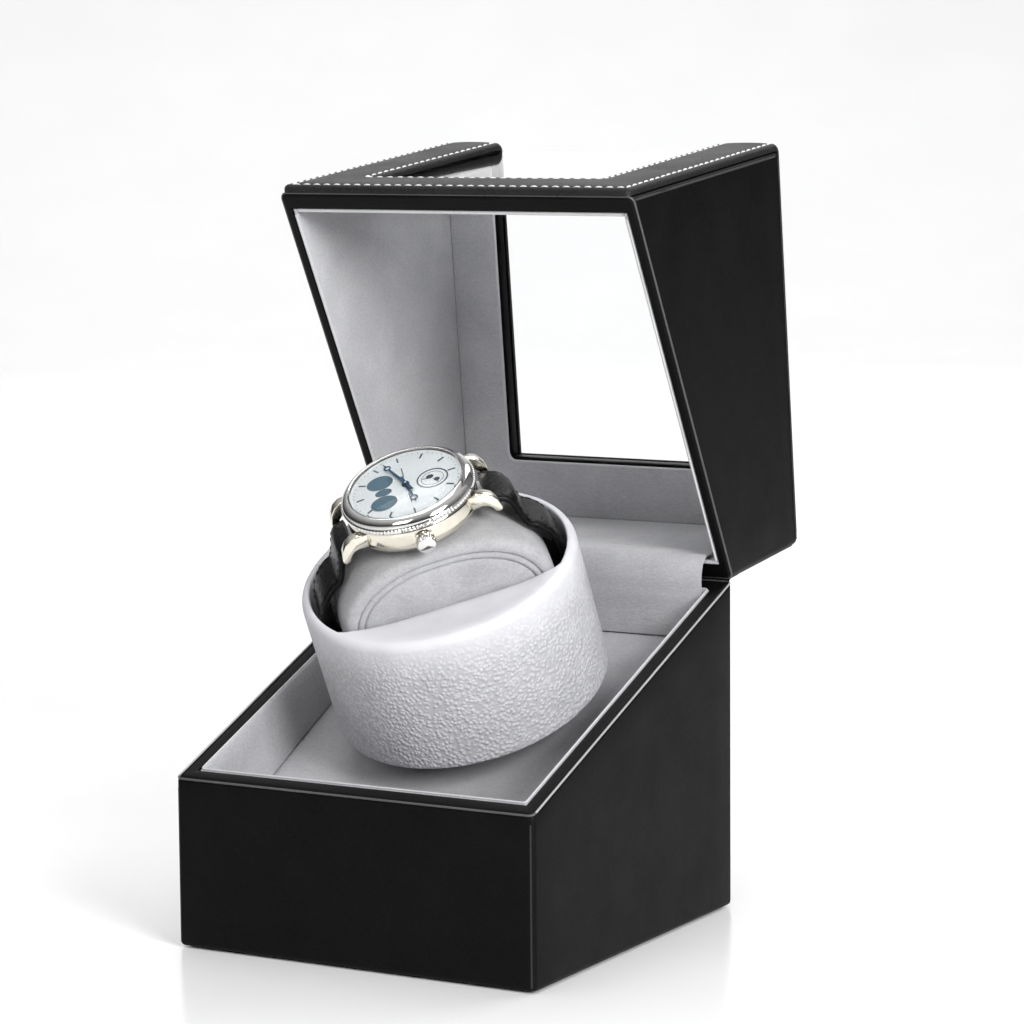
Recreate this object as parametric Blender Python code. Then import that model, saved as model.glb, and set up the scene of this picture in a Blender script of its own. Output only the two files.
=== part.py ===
# Single watch winder box: a leather-wrapped box with a slanted rim, a hinged lid with a bent
# window, and a tilted drum that a small geared motor turns. A watch sits on the drum's cushion.
# Units: lengths below are millimetres and are written to the meshes in metres.
# Frame: origin at the centre of the underside, +Z up, the box's front faces -Y.
import math

import bmesh
import bpy
from mathutils import Matrix, Vector

for ob in list(bpy.data.objects):
    bpy.data.objects.remove(ob, do_unlink=True)

MM = 0.001

# ---------------------------------------------------------------- driving dimensions (mm)
WIDTH = 125.0            # outside, left to right
DEPTH = 129.0            # outside, front to back
RIM_FRONT = 52.5         # height of the base's rim at the front
RIM_BACK = 104.7         # height of the base's rim at the back
HEIGHT = 154.5           # closed height without the window frame
SKIN = 0.8               # leather
BOARD = 3.6              # wall board
RIM_W = 5.0              # black rim around the base
LINING = 1.2             # velvet on card
GAP = 0.3                # clearance between neighbouring pieces
LID_OPEN = 83.66         # lid angle at rest, from closed
LID_SIDE = 3.2           # leather and board at the lid's sides
RIM_GAP = 0.4            # between the two rims, lid closed
WIN_X = 40.5             # half the window's width
WIN_Z = 75.0             # the window's lower edge on the lid's front
WIN_Y = 38.8             # the window's back edge on the lid's top
TRIM = 2.5               # thickness of the stitched window frame
TILT = 27.0              # platform and drum
DRUM_Y, DRUM_Z = 13.86, 63.78   # drum axis where it meets the platform
DRUM_R = 43.5
DRUM_LOW, DRUM_TOP = 12.2, 58.2  # drum, measured along its axis from the platform
CHEEK_TOP = 56.2
SLOT_HALF = 21.3         # half the width of the drum's slot
SPIN = 38.0              # the slot's direction, from +X
MODULE, GEAR_N, PINION_N = 1.0, 48, 16
HINGE_Y, HINGE_Z = 64.2, 105.6
HINGE_HALF = 35.0
JACK_X, JACK_Z = -30.0, 16.0
SWITCH_X, SWITCH_Z, SWITCH_PIVOT_Y = 12.0, 16.0, 63.0
CORD_R = 1.5
COIL_X, COIL_Y, COIL_R0, COIL_R1, COIL_H = 8.0, 106.0, 12.3, 21.7, 9.4

HX, HY = WIDTH / 2, DEPTH / 2
SLOPE = (RIM_BACK - RIM_FRONT) / DEPTH
RIM_ANG = math.atan(SLOPE)
PERP = 1 / math.cos(RIM_ANG)     # vertical distance per unit square to the rim
TAN = math.tan(math.radians(TILT))


def rim(y):
    """Height of the base's rim plane at y."""
    return RIM_FRONT + (y + HY) * SLOPE


def lid_rim(y):
    return rim(y) + RIM_GAP * PERP


def plat(y):
    """Height of the platform's top at y."""
    return DRUM_Z + (y - DRUM_Y) * TAN


# ---------------------------------------------------------------- materials
MATS = {}


def material(name, rgb, rough, metal=0.0, alpha=1.0):
    m = bpy.data.materials.new(name)
    m.use_nodes = True
    p = m.node_tree.nodes["Principled BSDF"]
    p.inputs["Base Color"].default_value = (*rgb, 1.0)
    p.inputs["Roughness"].default_value = rough
    p.inputs["Metallic"].default_value = metal
    p.inputs["Alpha"].default_value = alpha
    m.diffuse_color = (*rgb, alpha)
    MATS[name] = m


material("black_leather", (0.013, 0.013, 0.014), 0.5)
material("board", (0.33, 0.24, 0.15), 0.85)
material("velvet", (0.34, 0.35, 0.37), 0.95)
material("grey_leather", (0.56, 0.57, 0.58), 0.55)
material("cushion_velvet", (0.45, 0.46, 0.48), 0.95)
material("felt", (0.02, 0.02, 0.02), 0.95)
material("clear", (0.9, 0.92, 0.93), 0.05, 0.0, 0.25)
material("steel", (0.62, 0.62, 0.63), 0.25, 1.0)
material("zinc", (0.45, 0.45, 0.46), 0.4, 1.0)
material("brass", (0.62, 0.45, 0.18), 0.35, 1.0)
material("nylon", (0.8, 0.79, 0.74), 0.5)
material("abs_black", (0.02, 0.02, 0.022), 0.4)
material("abs_grey", (0.25, 0.26, 0.27), 0.5)
material("pcb_green", (0.02, 0.2, 0.07), 0.5)
material("wire_red", (0.4, 0.02, 0.02), 0.5)
material("dial_white", (0.82, 0.83, 0.84), 0.4)
material("blue_steel", (0.02, 0.08, 0.3), 0.3, 0.8)
material("croc", (0.012, 0.012, 0.013), 0.35)
material("cord_black", (0.015, 0.015, 0.016), 0.45)


# ---------------------------------------------------------------- frames
def empty(name, loc, rot_x=0.0, rot_z=0.0, parent=None):
    e = bpy.data.objects.new(name, None)
    e.empty_display_size = 0.01
    bpy.context.scene.collection.objects.link(e)
    e.parent = parent
    e.location = [c * MM for c in loc]
    e.rotation_euler = (rot_x, 0.0, rot_z)
    return e


AX_HINGE = empty("hinge_frame", (0, HINGE_Y, HINGE_Z), RIM_ANG)          # fixed, in the rim's slope
AX_LID = empty("lid_axis", (0, HINGE_Y, HINGE_Z), -math.radians(LID_OPEN))
AX_LID_HINGE = empty("lid_hinge_frame", (0, 0, 0), RIM_ANG, parent=AX_LID)
AX_DRIVE = empty("drive_frame", (0, DRUM_Y, DRUM_Z), math.radians(TILT))  # fixed, along the drum's axis
AX_DRUM = empty("drum_axis", (0, DRUM_Y, DRUM_Z), math.radians(TILT))
AX_SLOT = empty("slot_frame", (0, 0, 0), 0.0, math.radians(SPIN), parent=AX_DRUM)
AX_PINION = empty("pinion_axis", (MODULE * (GEAR_N + PINION_N) / 2, 0, 0), parent=AX_DRIVE)
# the watch head: +X to twelve o'clock, +Z out of the dial; it leans a little to the front
AX_WATCH = empty("watch_axis", (-1.86, 0.06, 75.9), parent=AX_SLOT)
AX_WATCH.rotation_mode = "XYZ"
AX_WATCH.rotation_euler = (math.radians(3.2), math.radians(-2.4), 0.0)
AX_ROCKER = empty("rocker_axis", (SWITCH_X, SWITCH_PIVOT_Y, SWITCH_Z), 0.0, math.radians(-8.0))


# ---------------------------------------------------------------- mesh helpers
def add(name, verts, faces, mat, parent=None, shift=(0, 0, 0), smooth=None, guide=False):
    me = bpy.data.meshes.new(name)
    me.from_pydata([[(v[i] - shift[i]) * MM for i in range(3)] for v in verts], [], faces)
    bm = bmesh.new()
    bm.from_mesh(me)
    bmesh.ops.remove_doubles(bm, verts=bm.verts, dist=1e-7)
    bmesh.ops.recalc_face_normals(bm, faces=bm.faces)
    bm.to_mesh(me)
    bm.free()
    ob = bpy.data.objects.new(name, me)
    bpy.context.scene.collection.objects.link(ob)
    ob.parent = parent
    if guide:
        ob.hide_render = True
        ob.display_type = "WIRE"
    else:
        me.materials.append(MATS[mat])
    if smooth:
        me.shade_smooth()
        me.set_sharp_from_angle(angle=math.radians(smooth))
    return ob


def box_data(lo, hi):
    x0, y0, z0 = lo
    x1, y1, z1 = hi
    v = [(x0, y0, z0), (x1, y0, z0), (x1, y1, z0), (x0, y1, z0),
         (x0, y0, z1), (x1, y0, z1), (x1, y1, z1), (x0, y1, z1)]
    f = [(0, 3, 2, 1), (4, 5, 6, 7), (0, 1, 5, 4), (1, 2, 6, 5), (2, 3, 7, 6), (3, 0, 4, 7)]
    return v, f


def box(name, lo, hi, mat, **k):
    v, f = box_data(lo, hi)
    return add(name, v, f, mat, **k)


def prism_data(poly, axis, a0, a1):
    """A polygon of (p, q) pairs drawn in the plane square to axis, extruded from a0 to a1."""
    put = {"x": lambda a, p, q: (a, p, q), "y": lambda a, p, q: (p, a, q), "z": lambda a, p, q: (p, q, a)}[axis]
    n = len(poly)
    v = [put(a0, *p) for p in poly] + [put(a1, *p) for p in poly]
    f = [tuple(range(n))[::-1], tuple(range(n, 2 * n))]
    f += [(i, (i + 1) % n, n + (i + 1) % n, n + i) for i in range(n)]
    return v, f


def prism(name, poly, axis, a0, a1, mat, **k):
    v, f = prism_data(poly, axis, a0, a1)
    return add(name, v, f, mat, **k)


def lathe_data(profile, seg, axis="z", centre=(0, 0, 0)):
    """A closed outline of (r, h) pairs turned about an axis; points at r = 0 become one vertex."""
    v, idx = [], []
    for r, h in profile:
        if r < 1e-9:
            idx.append([len(v)] * seg)
            v.append((0, 0, h))
        else:
            idx.append([len(v) + j for j in range(seg)])
            v += [(r * math.cos(2 * math.pi * j / seg), r * math.sin(2 * math.pi * j / seg), h) for j in range(seg)]
    f = []
    n = len(profile)
    for i in range(n):
        a, b = idx[i], idx[(i + 1) % n]
        if a[0] == a[1] and b[0] == b[1]:
            continue
        for j in range(seg):
            k = (j + 1) % seg
            q = []
            for c in (a[j], a[k], b[k], b[j]):
                if c not in q:
                    q.append(c)
            if len(q) > 2:
                f.append(tuple(q))
    turn = {"z": lambda p: p, "y": lambda p: (p[0], p[2], -p[1]), "x": lambda p: (p[2], p[1], -p[0])}[axis]
    v = [tuple(turn(p)[i] + centre[i] for i in range(3)) for p in v]
    return v, f


def lathe(name, profile, seg, mat, axis="z", centre=(0, 0, 0), smooth=35, **k):
    v, f = lathe_data(profile, seg, axis, centre)
    return add(name, v, f, mat, smooth=smooth, **k)


def merged(parts):
    v, f = [], []
    for pv, pf in parts:
        n = len(v)
        v += pv
        f += [tuple(i + n for i in face) for face in pf]
    return v, f


def boolean(ob, cutter, kind="DIFFERENCE"):
    m = ob.modifiers.new("cut" if kind == "DIFFERENCE" else "join", "BOOLEAN")
    m.operation = kind
    m.solver = "EXACT"
    m.object = cutter
    return ob


def cyl_cut(name, r, h0, h1, seg=20, axis="z", centre=(0, 0, 0), parent=None, shift=(0, 0, 0)):
    v, f = lathe_data([(0, h0), (r, h0), (r, h1), (0, h1)], seg, axis, centre)
    return add(name, v, f, None, parent=parent, shift=shift, guide=True)


def box_cut(name, lo, hi, parent=None, shift=(0, 0, 0)):
    v, f = box_data(lo, hi)
    return add(name, v, f, None, parent=parent, shift=shift, guide=True)


def rrect(x, y0, y1, r, n=4):
    """Points round a rectangle with rounded corners, x is its half-width."""
    pts = []
    for cx, cy, a0 in ((x - r, y1 - r, 0), (-x + r, y1 - r, 90), (-x + r, y0 + r, 180), (x - r, y0 + r, 270)):
        for i in range(n):
            a = math.radians(a0 + 90 * i / (n - 1))
            pts.append((cx + r * math.cos(a), cy + r * math.sin(a)))
    return pts


def ring(name, profile, mat, **k):
    """A wall that runs round the box. profile: (half-width, y front, y back, corner radius, height function)."""
    loops = []
    v = []
    for x, y0, y1, r, zf in profile:
        base = len(v)
        pts = rrect(x, y0, y1, r)
        v += [(px, py, zf(py)) for px, py in pts]
        loops.append(list(range(base, base + len(pts))))
    f = []
    n, m = len(loops), len(loops[0])
    for i in range(n):
        a, b = loops[i], loops[(i + 1) % n]
        for j in range(m):
            f.append((a[j], a[(j + 1) % m], b[(j + 1) % m], b[j]))
    return add(name, v, f, mat, **k)


def sheet(name, path, xs, solid, o0, o1, mat, **k):
    """A bent plate: path of ((y, z), (ny, nz)), x stations, a rule for which cells are solid, two offsets."""
    idx = {}
    v, f = [], []

    def at(i, j, s):
        if (i, j, s) not in idx:
            (y, z), (ny, nz) = path[i]
            o = (o0, o1)[s]
            idx[i, j, s] = len(v)
            v.append((xs[j], y + ny * o, z + nz * o))
        return idx[i, j, s]

    ni, nj = len(path) - 1, len(xs) - 1
    on = [[bool(solid(i, j)) for j in range(nj)] for i in range(ni)]
    for i in range(ni):
        for j in range(nj):
            if not on[i][j]:
                continue
            for s in (0, 1):
                f.append((at(i, j, s), at(i + 1, j, s), at(i + 1, j + 1, s), at(i, j + 1, s)))
            for di, dj, e in ((-1, 0, ((i, j), (i, j + 1))), (1, 0, ((i + 1, j), (i + 1, j + 1))),
                              (0, -1, ((i, j), (i + 1, j))), (0, 1, ((i, j + 1), (i + 1, j + 1)))):
                a, b = i + di, j + dj
                if not (0 <= a < ni and 0 <= b < nj and on[a][b]):
                    (p, q) = e
                    f.append((at(*p, 0), at(*q, 0), at(*q, 1), at(*p, 1)))
    return add(name, v, f, mat, **k)


def ribbon(name, path, half_w, thick, mat, axis="y", seg_w=1, **k):
    """A band of even thickness along a path in the plane square to axis (x-z for y, y-z for x)."""
    v, f = [], []
    n = len(path)
    for i, (p, q) in enumerate(path):
        a, b = path[max(i - 1, 0)], path[min(i + 1, n - 1)]
        tx, tz = b[0] - a[0], b[1] - a[1]
        L = math.hypot(tx, tz)
        nx, nz = -tz / L, tx / L
        for w in (-half_w, half_w):
            for s in (-thick / 2, thick / 2):
                pp, qq = p + nx * s, q + nz * s
                v.append((pp, w, qq) if axis == "y" else (w, pp, qq))
    for i in range(n - 1):
        a, b = 4 * i, 4 * (i + 1)
        for c, d in ((0, 1), (1, 3), (3, 2), (2, 0)):
            f.append((a + c, a + d, b + d, b + c))
    f += [(0, 1, 3, 2), (4 * n - 4, 4 * n - 3, 4 * n - 1, 4 * n - 2)]
    return add(name, v, f, mat, **k)


def tube(name, pts, r, mat, res=2):
    cu = bpy.data.curves.new(name, "CURVE")
    cu.dimensions = "3D"
    sp = cu.splines.new("POLY")
    sp.points.add(len(pts) - 1)
    for p, q in zip(sp.points, pts):
        p.co = (q[0] * MM, q[1] * MM, q[2] * MM, 1.0)
    cu.bevel_depth = r * MM
    cu.bevel_resolution = res
    cu.use_fill_caps = True
    cu.materials.append(MATS[mat])
    ob = bpy.data.objects.new(name, cu)
    bpy.context.scene.collection.objects.link(ob)
    return ob


def smooth_curve(keys, step):
    """Points every step along a Catmull-Rom curve through keys."""
    P = [Vector(k) for k in keys]
    P = [2 * P[0] - P[1]] + P + [2 * P[-1] - P[-2]]
    fine = []
    for i in range(1, len(P) - 2):
        for j in range(24):
            t = j / 24
            a, b, c, d = P[i - 1], P[i], P[i + 1], P[i + 2]
            fine.append(0.5 * ((2 * b) + (c - a) * t + (2 * a - 5 * b + 4 * c - d) * t * t + (3 * b - a - 3 * c + d) * t ** 3))
    fine.append(P[-2])
    out, run = [fine[0]], 0.0
    total = sum((fine[i + 1] - fine[i]).length for i in range(len(fine) - 1))
    n = max(2, round(total / step))
    want = total / n
    k = 1
    for i in range(len(fine) - 1):
        d = (fine[i + 1] - fine[i]).length
        while k < n and run + d >= k * want:
            out.append(fine[i].lerp(fine[i + 1], (k * want - run) / d))
            k += 1
        run += d
    out.append(fine[-1])
    return [tuple(p) for p in out]


# ---------------------------------------------------------------- base
box("base_felt", (-60, -62, 0), (60, 62, 0.9), "felt")
box("base_bottom", (-57.5, -59.5, 1.2), (57.5, 59.5, 4.2), "board")

wall_top = (SKIN + GAP) * PERP
side = [(-63.0, 1.2), (63.0, 1.2), (63.0, rim(63.0) - wall_top), (-63.0, rim(-63.0) - wall_top)]
prism("base_left", side, "x", -61.4, -61.4 + BOARD, "board")
prism("base_right", side, "x", 61.4 - BOARD, 61.4, "board")
prism("base_front", [(-63.4, 1.2), (-59.8, 1.2), (-59.8, rim(-59.8) - wall_top), (-63.4, rim(-63.4) - wall_top)],
      "x", -57.5, 57.5, "board")
base_back = prism("base_back", [(59.8, 1.2), (63.4, 1.2), (63.4, rim(63.4) - wall_top), (59.8, rim(59.8) - wall_top)],
                  "x", -57.5, 57.5, "board")

base_leather = ring("base_leather", [
    (HX - 0.7, -HY + 0.7, HY - 0.7, 1.5, lambda y: 0.6),
    (HX, -HY, HY, 2.0, lambda y: 1.4),
    (HX, -HY, HY, 2.0, lambda y: rim(y) - 0.7),
    (HX - 0.6, -HY + 0.6, HY - 0.6, 1.6, rim),
    (HX - RIM_W, -HY + RIM_W, HY - RIM_W, 0.4, rim),
    (HX - RIM_W, -HY + RIM_W, HY - RIM_W, 0.4, lambda y: rim(y) - SKIN * PERP),
    (HX - SKIN, -HY + SKIN, HY - SKIN, 1.3, lambda y: rim(y) - SKIN * PERP),
    (HX - SKIN, -HY + SKIN, HY - SKIN, 1.3, lambda y: 0.6),
], "black_leather", smooth=30)

# openings in the back wall for the power inlet and the mode switch
for nm, ob in (("a", base_leather), ("b", base_back)):
    boolean(ob, cyl_cut("inlet_hole_" + nm, 4.4, 58.0, 68.0, 20, "y", (JACK_X, 0, JACK_Z)))
    boolean(ob, box_cut("switch_hole_" + nm, (SWITCH_X - 6.8, 58, SWITCH_Z - 4.6), (SWITCH_X + 6.8, 68, SWITCH_Z + 4.6)))
# recess for the hinge in the leather of the rim
boolean(base_leather, box_cut("hinge_recess_base", (-HINGE_HALF - 0.4, -5.7, -2.05), (HINGE_HALF + 0.4, 3.0, 3.0), AX_HINGE))

IN = RIM_W + GAP
ring("base_lining", [
    (HX - IN, -HY + IN, HY - IN, 0.6, lambda y: rim(y) - 0.15),
    (HX - IN - LINING, -HY + IN + LINING, HY - IN - LINING, 1.2, lambda y: rim(y) - 0.15),
    (HX - IN - LINING, -HY + IN + LINING, HY - IN - LINING, 1.2, lambda y: plat(y) + 0.4),
    (HX - IN, -HY + IN, HY - IN, 0.6, lambda y: plat(y) + 0.4),
], "velvet")

platform = prism("platform", [(-59.3, plat(-59.3)), (59.3, plat(59.3)), (59.3, plat(59.3) - 3.37), (-59.3, plat(-59.3) - 3.37)],
                 "x", -57.3, 57.3, "velvet")
boolean(platform, cyl_cut("bush_hole", 6.0, -6, 4, 24, parent=AX_DRIVE))
SCREWS = (-38.2, 52.5)
for i, sx in enumerate(SCREWS):
    boolean(platform, cyl_cut("pilot_hole_%d" % i, 1.8, -5.0, -0.6, 16, centre=(sx, 0, 0), parent=AX_DRIVE))

# ---------------------------------------------------------------- drive, under the platform
lathe("bush", [(3.3, 2.0), (9, 2.0), (9, 0.3), (5.7, 0.3), (5.7, -4.5), (3.3, -4.5)], 20, "nylon", parent=AX_DRIVE)
bracket = prism("motor_bracket", [(-42, -3.3), (-32, -3.3), (-32, -16.5), (46.5, -16.5), (46.5, -3.3), (56.5, -3.3),
                                  (56.5, -5.3), (48.5, -5.3), (48.5, -18.5), (-34, -18.5), (-34, -5.3), (-42, -5.3)],
                "y", -13, 13, "zinc", parent=AX_DRIVE)
PIN_X = MODULE * (GEAR_N + PINION_N) / 2
boolean(bracket, cyl_cut("spindle_hole", 3.4, -20, -15, 20, parent=AX_DRIVE))
boolean(bracket, cyl_cut("shaft_hole", 3.5, -20, -15, 20, centre=(PIN_X, 0, 0), parent=AX_DRIVE))
for i, sx in enumerate(SCREWS):
    boolean(bracket, cyl_cut("flange_hole_%d" % i, 1.8, -6, -3, 16, centre=(sx, 0, 0), parent=AX_DRIVE))
    lathe("bracket_screw_%d" % (i + 1), [(0, -0.9), (1.45, -0.9), (1.45, -5.6), (2.9, -5.6), (2.9, -6.8), (2.3, -7.4), (0, -7.4)],
          16, "zinc", centre=(sx, 0, 0), parent=AX_DRIVE)
lathe("motor_gearbox", [(1.9, -18.8), (12.3, -18.8), (12.3, -27), (0, -27), (0, -23.5), (1.9, -23.5)], 24, "abs_grey",
      centre=(PIN_X, 0, 0), parent=AX_DRIVE)
lathe("motor_can", [(0, -27.3), (12, -27.3), (12, -46.3), (10.6, -47.5), (0, -47.5)], 24, "zinc",
      centre=(PIN_X, 0, 0), parent=AX_DRIVE)


def gear_outline(n, thin, tip, phase):
    """Outline of an involute spur gear: n teeth, thinned for backlash, one list per tooth."""
    rp = MODULE * n / 2
    rb = rp * math.cos(math.radians(20))
    ra = rp + MODULE * tip
    rf = rp - MODULE * 1.25
    inv = lambda a: math.tan(a) - a
    half = math.pi / (2 * n) - thin / (2 * rp)
    ang = lambda r: half + inv(math.radians(20)) - (inv(math.acos(min(1.0, rb / r))) if r > rb else 0.0)
    radii = [max(rb, rf + 0.05), rp - 0.1 * MODULE, rp + 0.45 * MODULE, ra]
    teeth = []
    for t in range(n):
        c = phase + 2 * math.pi * t / n
        pts = [(rf, c - ang(radii[0]))] + [(r, c - ang(r)) for r in radii]
        pts += [(r, c + ang(r)) for r in radii[::-1]] + [(rf, c + ang(radii[0]))]
        teeth.append([(r * math.cos(a), r * math.sin(a)) for r, a in pts])
    return teeth


def gear(name, n, thin, tip, phase, bore, z0, z1, mat, parent):
    teeth = gear_outline(n, thin, tip, phase)
    v, f, outer, inner = [], [], [], []
    for z in (z0, z1):
        o = []
        for t in teeth:
            o.append(list(range(len(v), len(v) + len(t))))
            v += [(x, y, z) for x, y in t]
        outer.append(o)
        if bore:
            i0 = len(v)
            v += [(bore * math.cos(phase + 2 * math.pi * (t - 0.5) / n), bore * math.sin(phase + 2 * math.pi * (t - 0.5) / n), z)
                  for t in range(n)]
            inner.append(list(range(i0, i0 + n)))
    for s in (0, 1):
        if bore:
            # one face for each tooth and one for the root between it and the next
            for t in range(n):
                u = (t + 1) % n
                f.append(tuple(outer[s][t]) + (inner[s][u], inner[s][t]))
                f.append((outer[s][t][-1], outer[s][u][0], inner[s][u]))
        else:
            f.append(tuple(i for t in outer[s] for i in t))
    ring0 = [i for t in outer[0] for i in t]
    ring1 = [i for t in outer[1] for i in t]
    for i in range(len(ring0)):
        j = (i + 1) % len(ring0)
        f.append((ring0[i], ring0[j], ring1[j], ring1[i]))
    if bore:
        for i in range(n):
            j = (i + 1) % n
            f.append((inner[0][i], inner[0][j], inner[1][j], inner[1][i]))
    return add(name, v, f, mat, parent=parent)


gear("drum_gear", GEAR_N, 0.24, 0.9, 0.0, 3.35, -11.5, -6.5, "nylon", AX_DRUM)
pinion = gear("motor_pinion", PINION_N, 0.24, 0.9, math.pi / PINION_N, 0, -11.5, -6.0, "brass", AX_PINION)
v, f = lathe_data([(0, -22.8), (1.5, -22.8), (1.5, -8.0), (0, -8.0)], 14)
boolean(pinion, add("pinion_shaft", v, f, None, parent=AX_PINION, guide=True), "UNION")

lathe("spindle", [(0, 11.8), (14, 11.8), (14, 9.8), (6.5, 9.8), (6.5, 4), (3.0, 4), (3.0, -19.0), (2.3, -19.0),
                  (2.3, -20.3), (3.0, -20.3), (3.0, -21.4), (0, -21.4)], 20, "steel", parent=AX_DRUM)
# retaining clip in the spindle's groove, open over 50 degrees
clip = lathe("spindle_clip", [(2.6, -20.0), (5.0, -20.0), (5.0, -19.3), (2.6, -19.3)], 24, "steel", parent=AX_DRUM)
boolean(clip, box_cut("clip_mouth", (0, -1.4, -22), (8, 1.4, -17), AX_DRUM))

pcb = box("control_board", (-48, 16, 6.4), (-16, 44, 8.0), "pcb_green")
for i, (lo, hi) in enumerate([((-44, 20, 7.9), (-34, 30, 10.5)), ((-28, 34, 7.9), (-20, 40, 13)), ((-46, 24, 4.5), (-42, 28, 6.5)),
                              ((-22, 24, 4.5), (-18, 28, 6.5))]):
    boolean(pcb, box_cut("board_part_%d" % i, lo, hi), "UNION")

# power inlet: threaded collar outside, sleeve with a centre pin inside
lathe("power_inlet", [(0, 52), (4.0, 52), (4.0, 64.8), (5.6, 64.8), (5.6, 66.0), (2.05, 66.0), (2.05, 55), (0.5, 55), (0.5, 63.4), (0, 63.4)],
      20, "abs_black", axis="y", centre=(JACK_X, 0, JACK_Z))

switch = box("mode_switch", (SWITCH_X - 7.7, 64.8, SWITCH_Z - 5.5), (SWITCH_X + 7.7, 66.0, SWITCH_Z + 5.5), "abs_black")
boolean(switch, box_cut("switch_can", (SWITCH_X - 6.5, 53.5, SWITCH_Z - 4.3), (SWITCH_X + 6.5, 65.0, SWITCH_Z + 4.3)), "UNION")
boolean(switch, box_cut("switch_pocket", (SWITCH_X - 5.3, 60.0, SWITCH_Z - 3.5), (SWITCH_X + 5.3, 67.0, SWITCH_Z + 3.5)))
prism("switch_rocker", [(-4.4, -1.0), (4.4, -1.0), (4.5, 3.3), (2.2, 2.5), (0, 2.25), (-2.2, 2.5), (-4.5, 3.3)], "z", -3.1, 3.1,
      "abs_black", parent=AX_ROCKER)

tube("motor_wires", smooth_curve([(-24, 37, 13.5), (-20, 38, 18), (-6, 42, 20), (10, 46, 17), (22, 49, 15), (29, 46.5, 17.5), (32.2, 41.5, 17.3),
                                  (32.2, 37.4, 20.0)], 3.0), 0.9, "wire_red")

# ---------------------------------------------------------------- drum
lathe("drum_shell", [(0, 12.2), (42.4, 12.2), (42.4, 57.0), (40.8, 57.0), (40.8, 14.6), (0, 14.6)], 48, "abs_grey", parent=AX_DRUM)
lathe("drum_leather", [(42.7, DRUM_LOW), (DRUM_R, DRUM_LOW), (DRUM_R, DRUM_TOP - 0.8), (DRUM_R - 0.8, DRUM_TOP), (40.9, DRUM_TOP),
                       (40.9, 57.3), (42.7, 57.3)], 48, "grey_leather", parent=AX_DRUM)
a0 = math.asin(SLOT_HALF / 40.5)
arc = [(40.5 * math.cos(a0 + (math.pi - 2 * a0) * i / 14), 40.5 * math.sin(a0 + (math.pi - 2 * a0) * i / 14)) for i in range(15)]
prism("drum_cheek_rear", arc, "z", 14.9, CHEEK_TOP, "grey_leather", parent=AX_SLOT)
prism("drum_cheek_front", [(x, -y) for x, y in arc], "z", 14.9, CHEEK_TOP, "grey_leather", parent=AX_SLOT)


def oval(t, hw=33.6, lo=25.6, hi=74.6, e=2.35):
    """The cushion's oval outline in the slot's plane, t from 0 to 2 pi."""
    c, s = math.cos(t), math.sin(t)
    return (hw * math.copysign(abs(c) ** (2 / e), c), (lo + hi) / 2 + (hi - lo) / 2 * math.copysign(abs(s) ** (2 / e), s))


prism("cushion", [oval(2 * math.pi * i / 36) for i in range(36)], "y", -20.9, 20.9, "cushion_velvet", parent=AX_SLOT)

# ---------------------------------------------------------------- watch
case = lathe("watch_case", [(17.1, 1.9), (19.0, 1.4), (20.4, 3.4), (20.4, 8.9), (17.1, 8.9)], 36, "steel", parent=AX_WATCH)
for i, (sx, sy) in enumerate(((1, 1), (1, -1), (-1, 1), (-1, -1))):
    pl = [(16.5, 7.6), (21.5, 7.2), (24.6, 3.6), (25.2, 0.6), (23.4, 0.2), (16.5, 2.6)]
    v, f = prism_data([(sx * x, z) for x, z in pl], "y", sy * 9.3, sy * 12.6)
    boolean(case, add("lug_%d" % i, v, f, None, parent=AX_WATCH, guide=True), "UNION")
lathe("watch_caseback", [(0, 0.1), (16.2, 0.1), (16.8, 0.7), (16.8, 1.7), (0, 1.7)], 32, "steel", parent=AX_WATCH)
lathe("watch_movement", [(0, 2.0), (16.4, 2.0), (16.4, 11.1), (0, 11.1)], 32, "brass", parent=AX_WATCH)
lathe("watch_dial", [(0.5, 11.4), (17.5, 11.4), (17.5, 12.0), (0.5, 12.0)], 32, "dial_white", parent=AX_WATCH)
lathe("watch_bezel", [(17.9, 9.2), (21.1, 9.2), (21.1, 10.9), (18.9, 13.1), (17.9, 13.3)], 48, "steel", parent=AX_WATCH)
lathe("watch_crystal", [(0, 13.7), (10.0, 13.45), (17.6, 12.75), (17.6, 13.4), (14.0, 14.0), (8.0, 14.5), (0, 14.7)], 32, "clear", parent=AX_WATCH)
lathe("watch_crown", [(0, -25.4), (2.6, -25.4), (3.1, -24.9), (3.1, -21.6), (2.5, -21.1), (0, -21.1)], 18, "steel", axis="y",
      centre=(0, 0, 5.6), parent=AX_WATCH)


def hand(name, length, width, z0, z1, ang, hub):
    c, s = math.cos(ang), math.sin(ang)
    pl = [(-5.0, -width * 0.6), (0.0, -hub), (length * 0.75, -width), (length, 0), (length * 0.75, width), (0.0, hub), (-5.0, width * 0.6)]
    pl = [(x * c - y * s, x * s + y * c) for x, y in pl]
    prism(name, pl, "z", z0, z1, "blue_steel", parent=AX_WATCH)


# about 2:42, +X is twelve o'clock and angles run clockwise, seen from above
hand("hour_hand", 10.5, 1.0, 12.2, 12.4, -math.radians(83), 1.3)
hand("minute_hand", 14.5, 0.8, 12.65, 12.85, -math.radians(251.5), 1.1)


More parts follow.
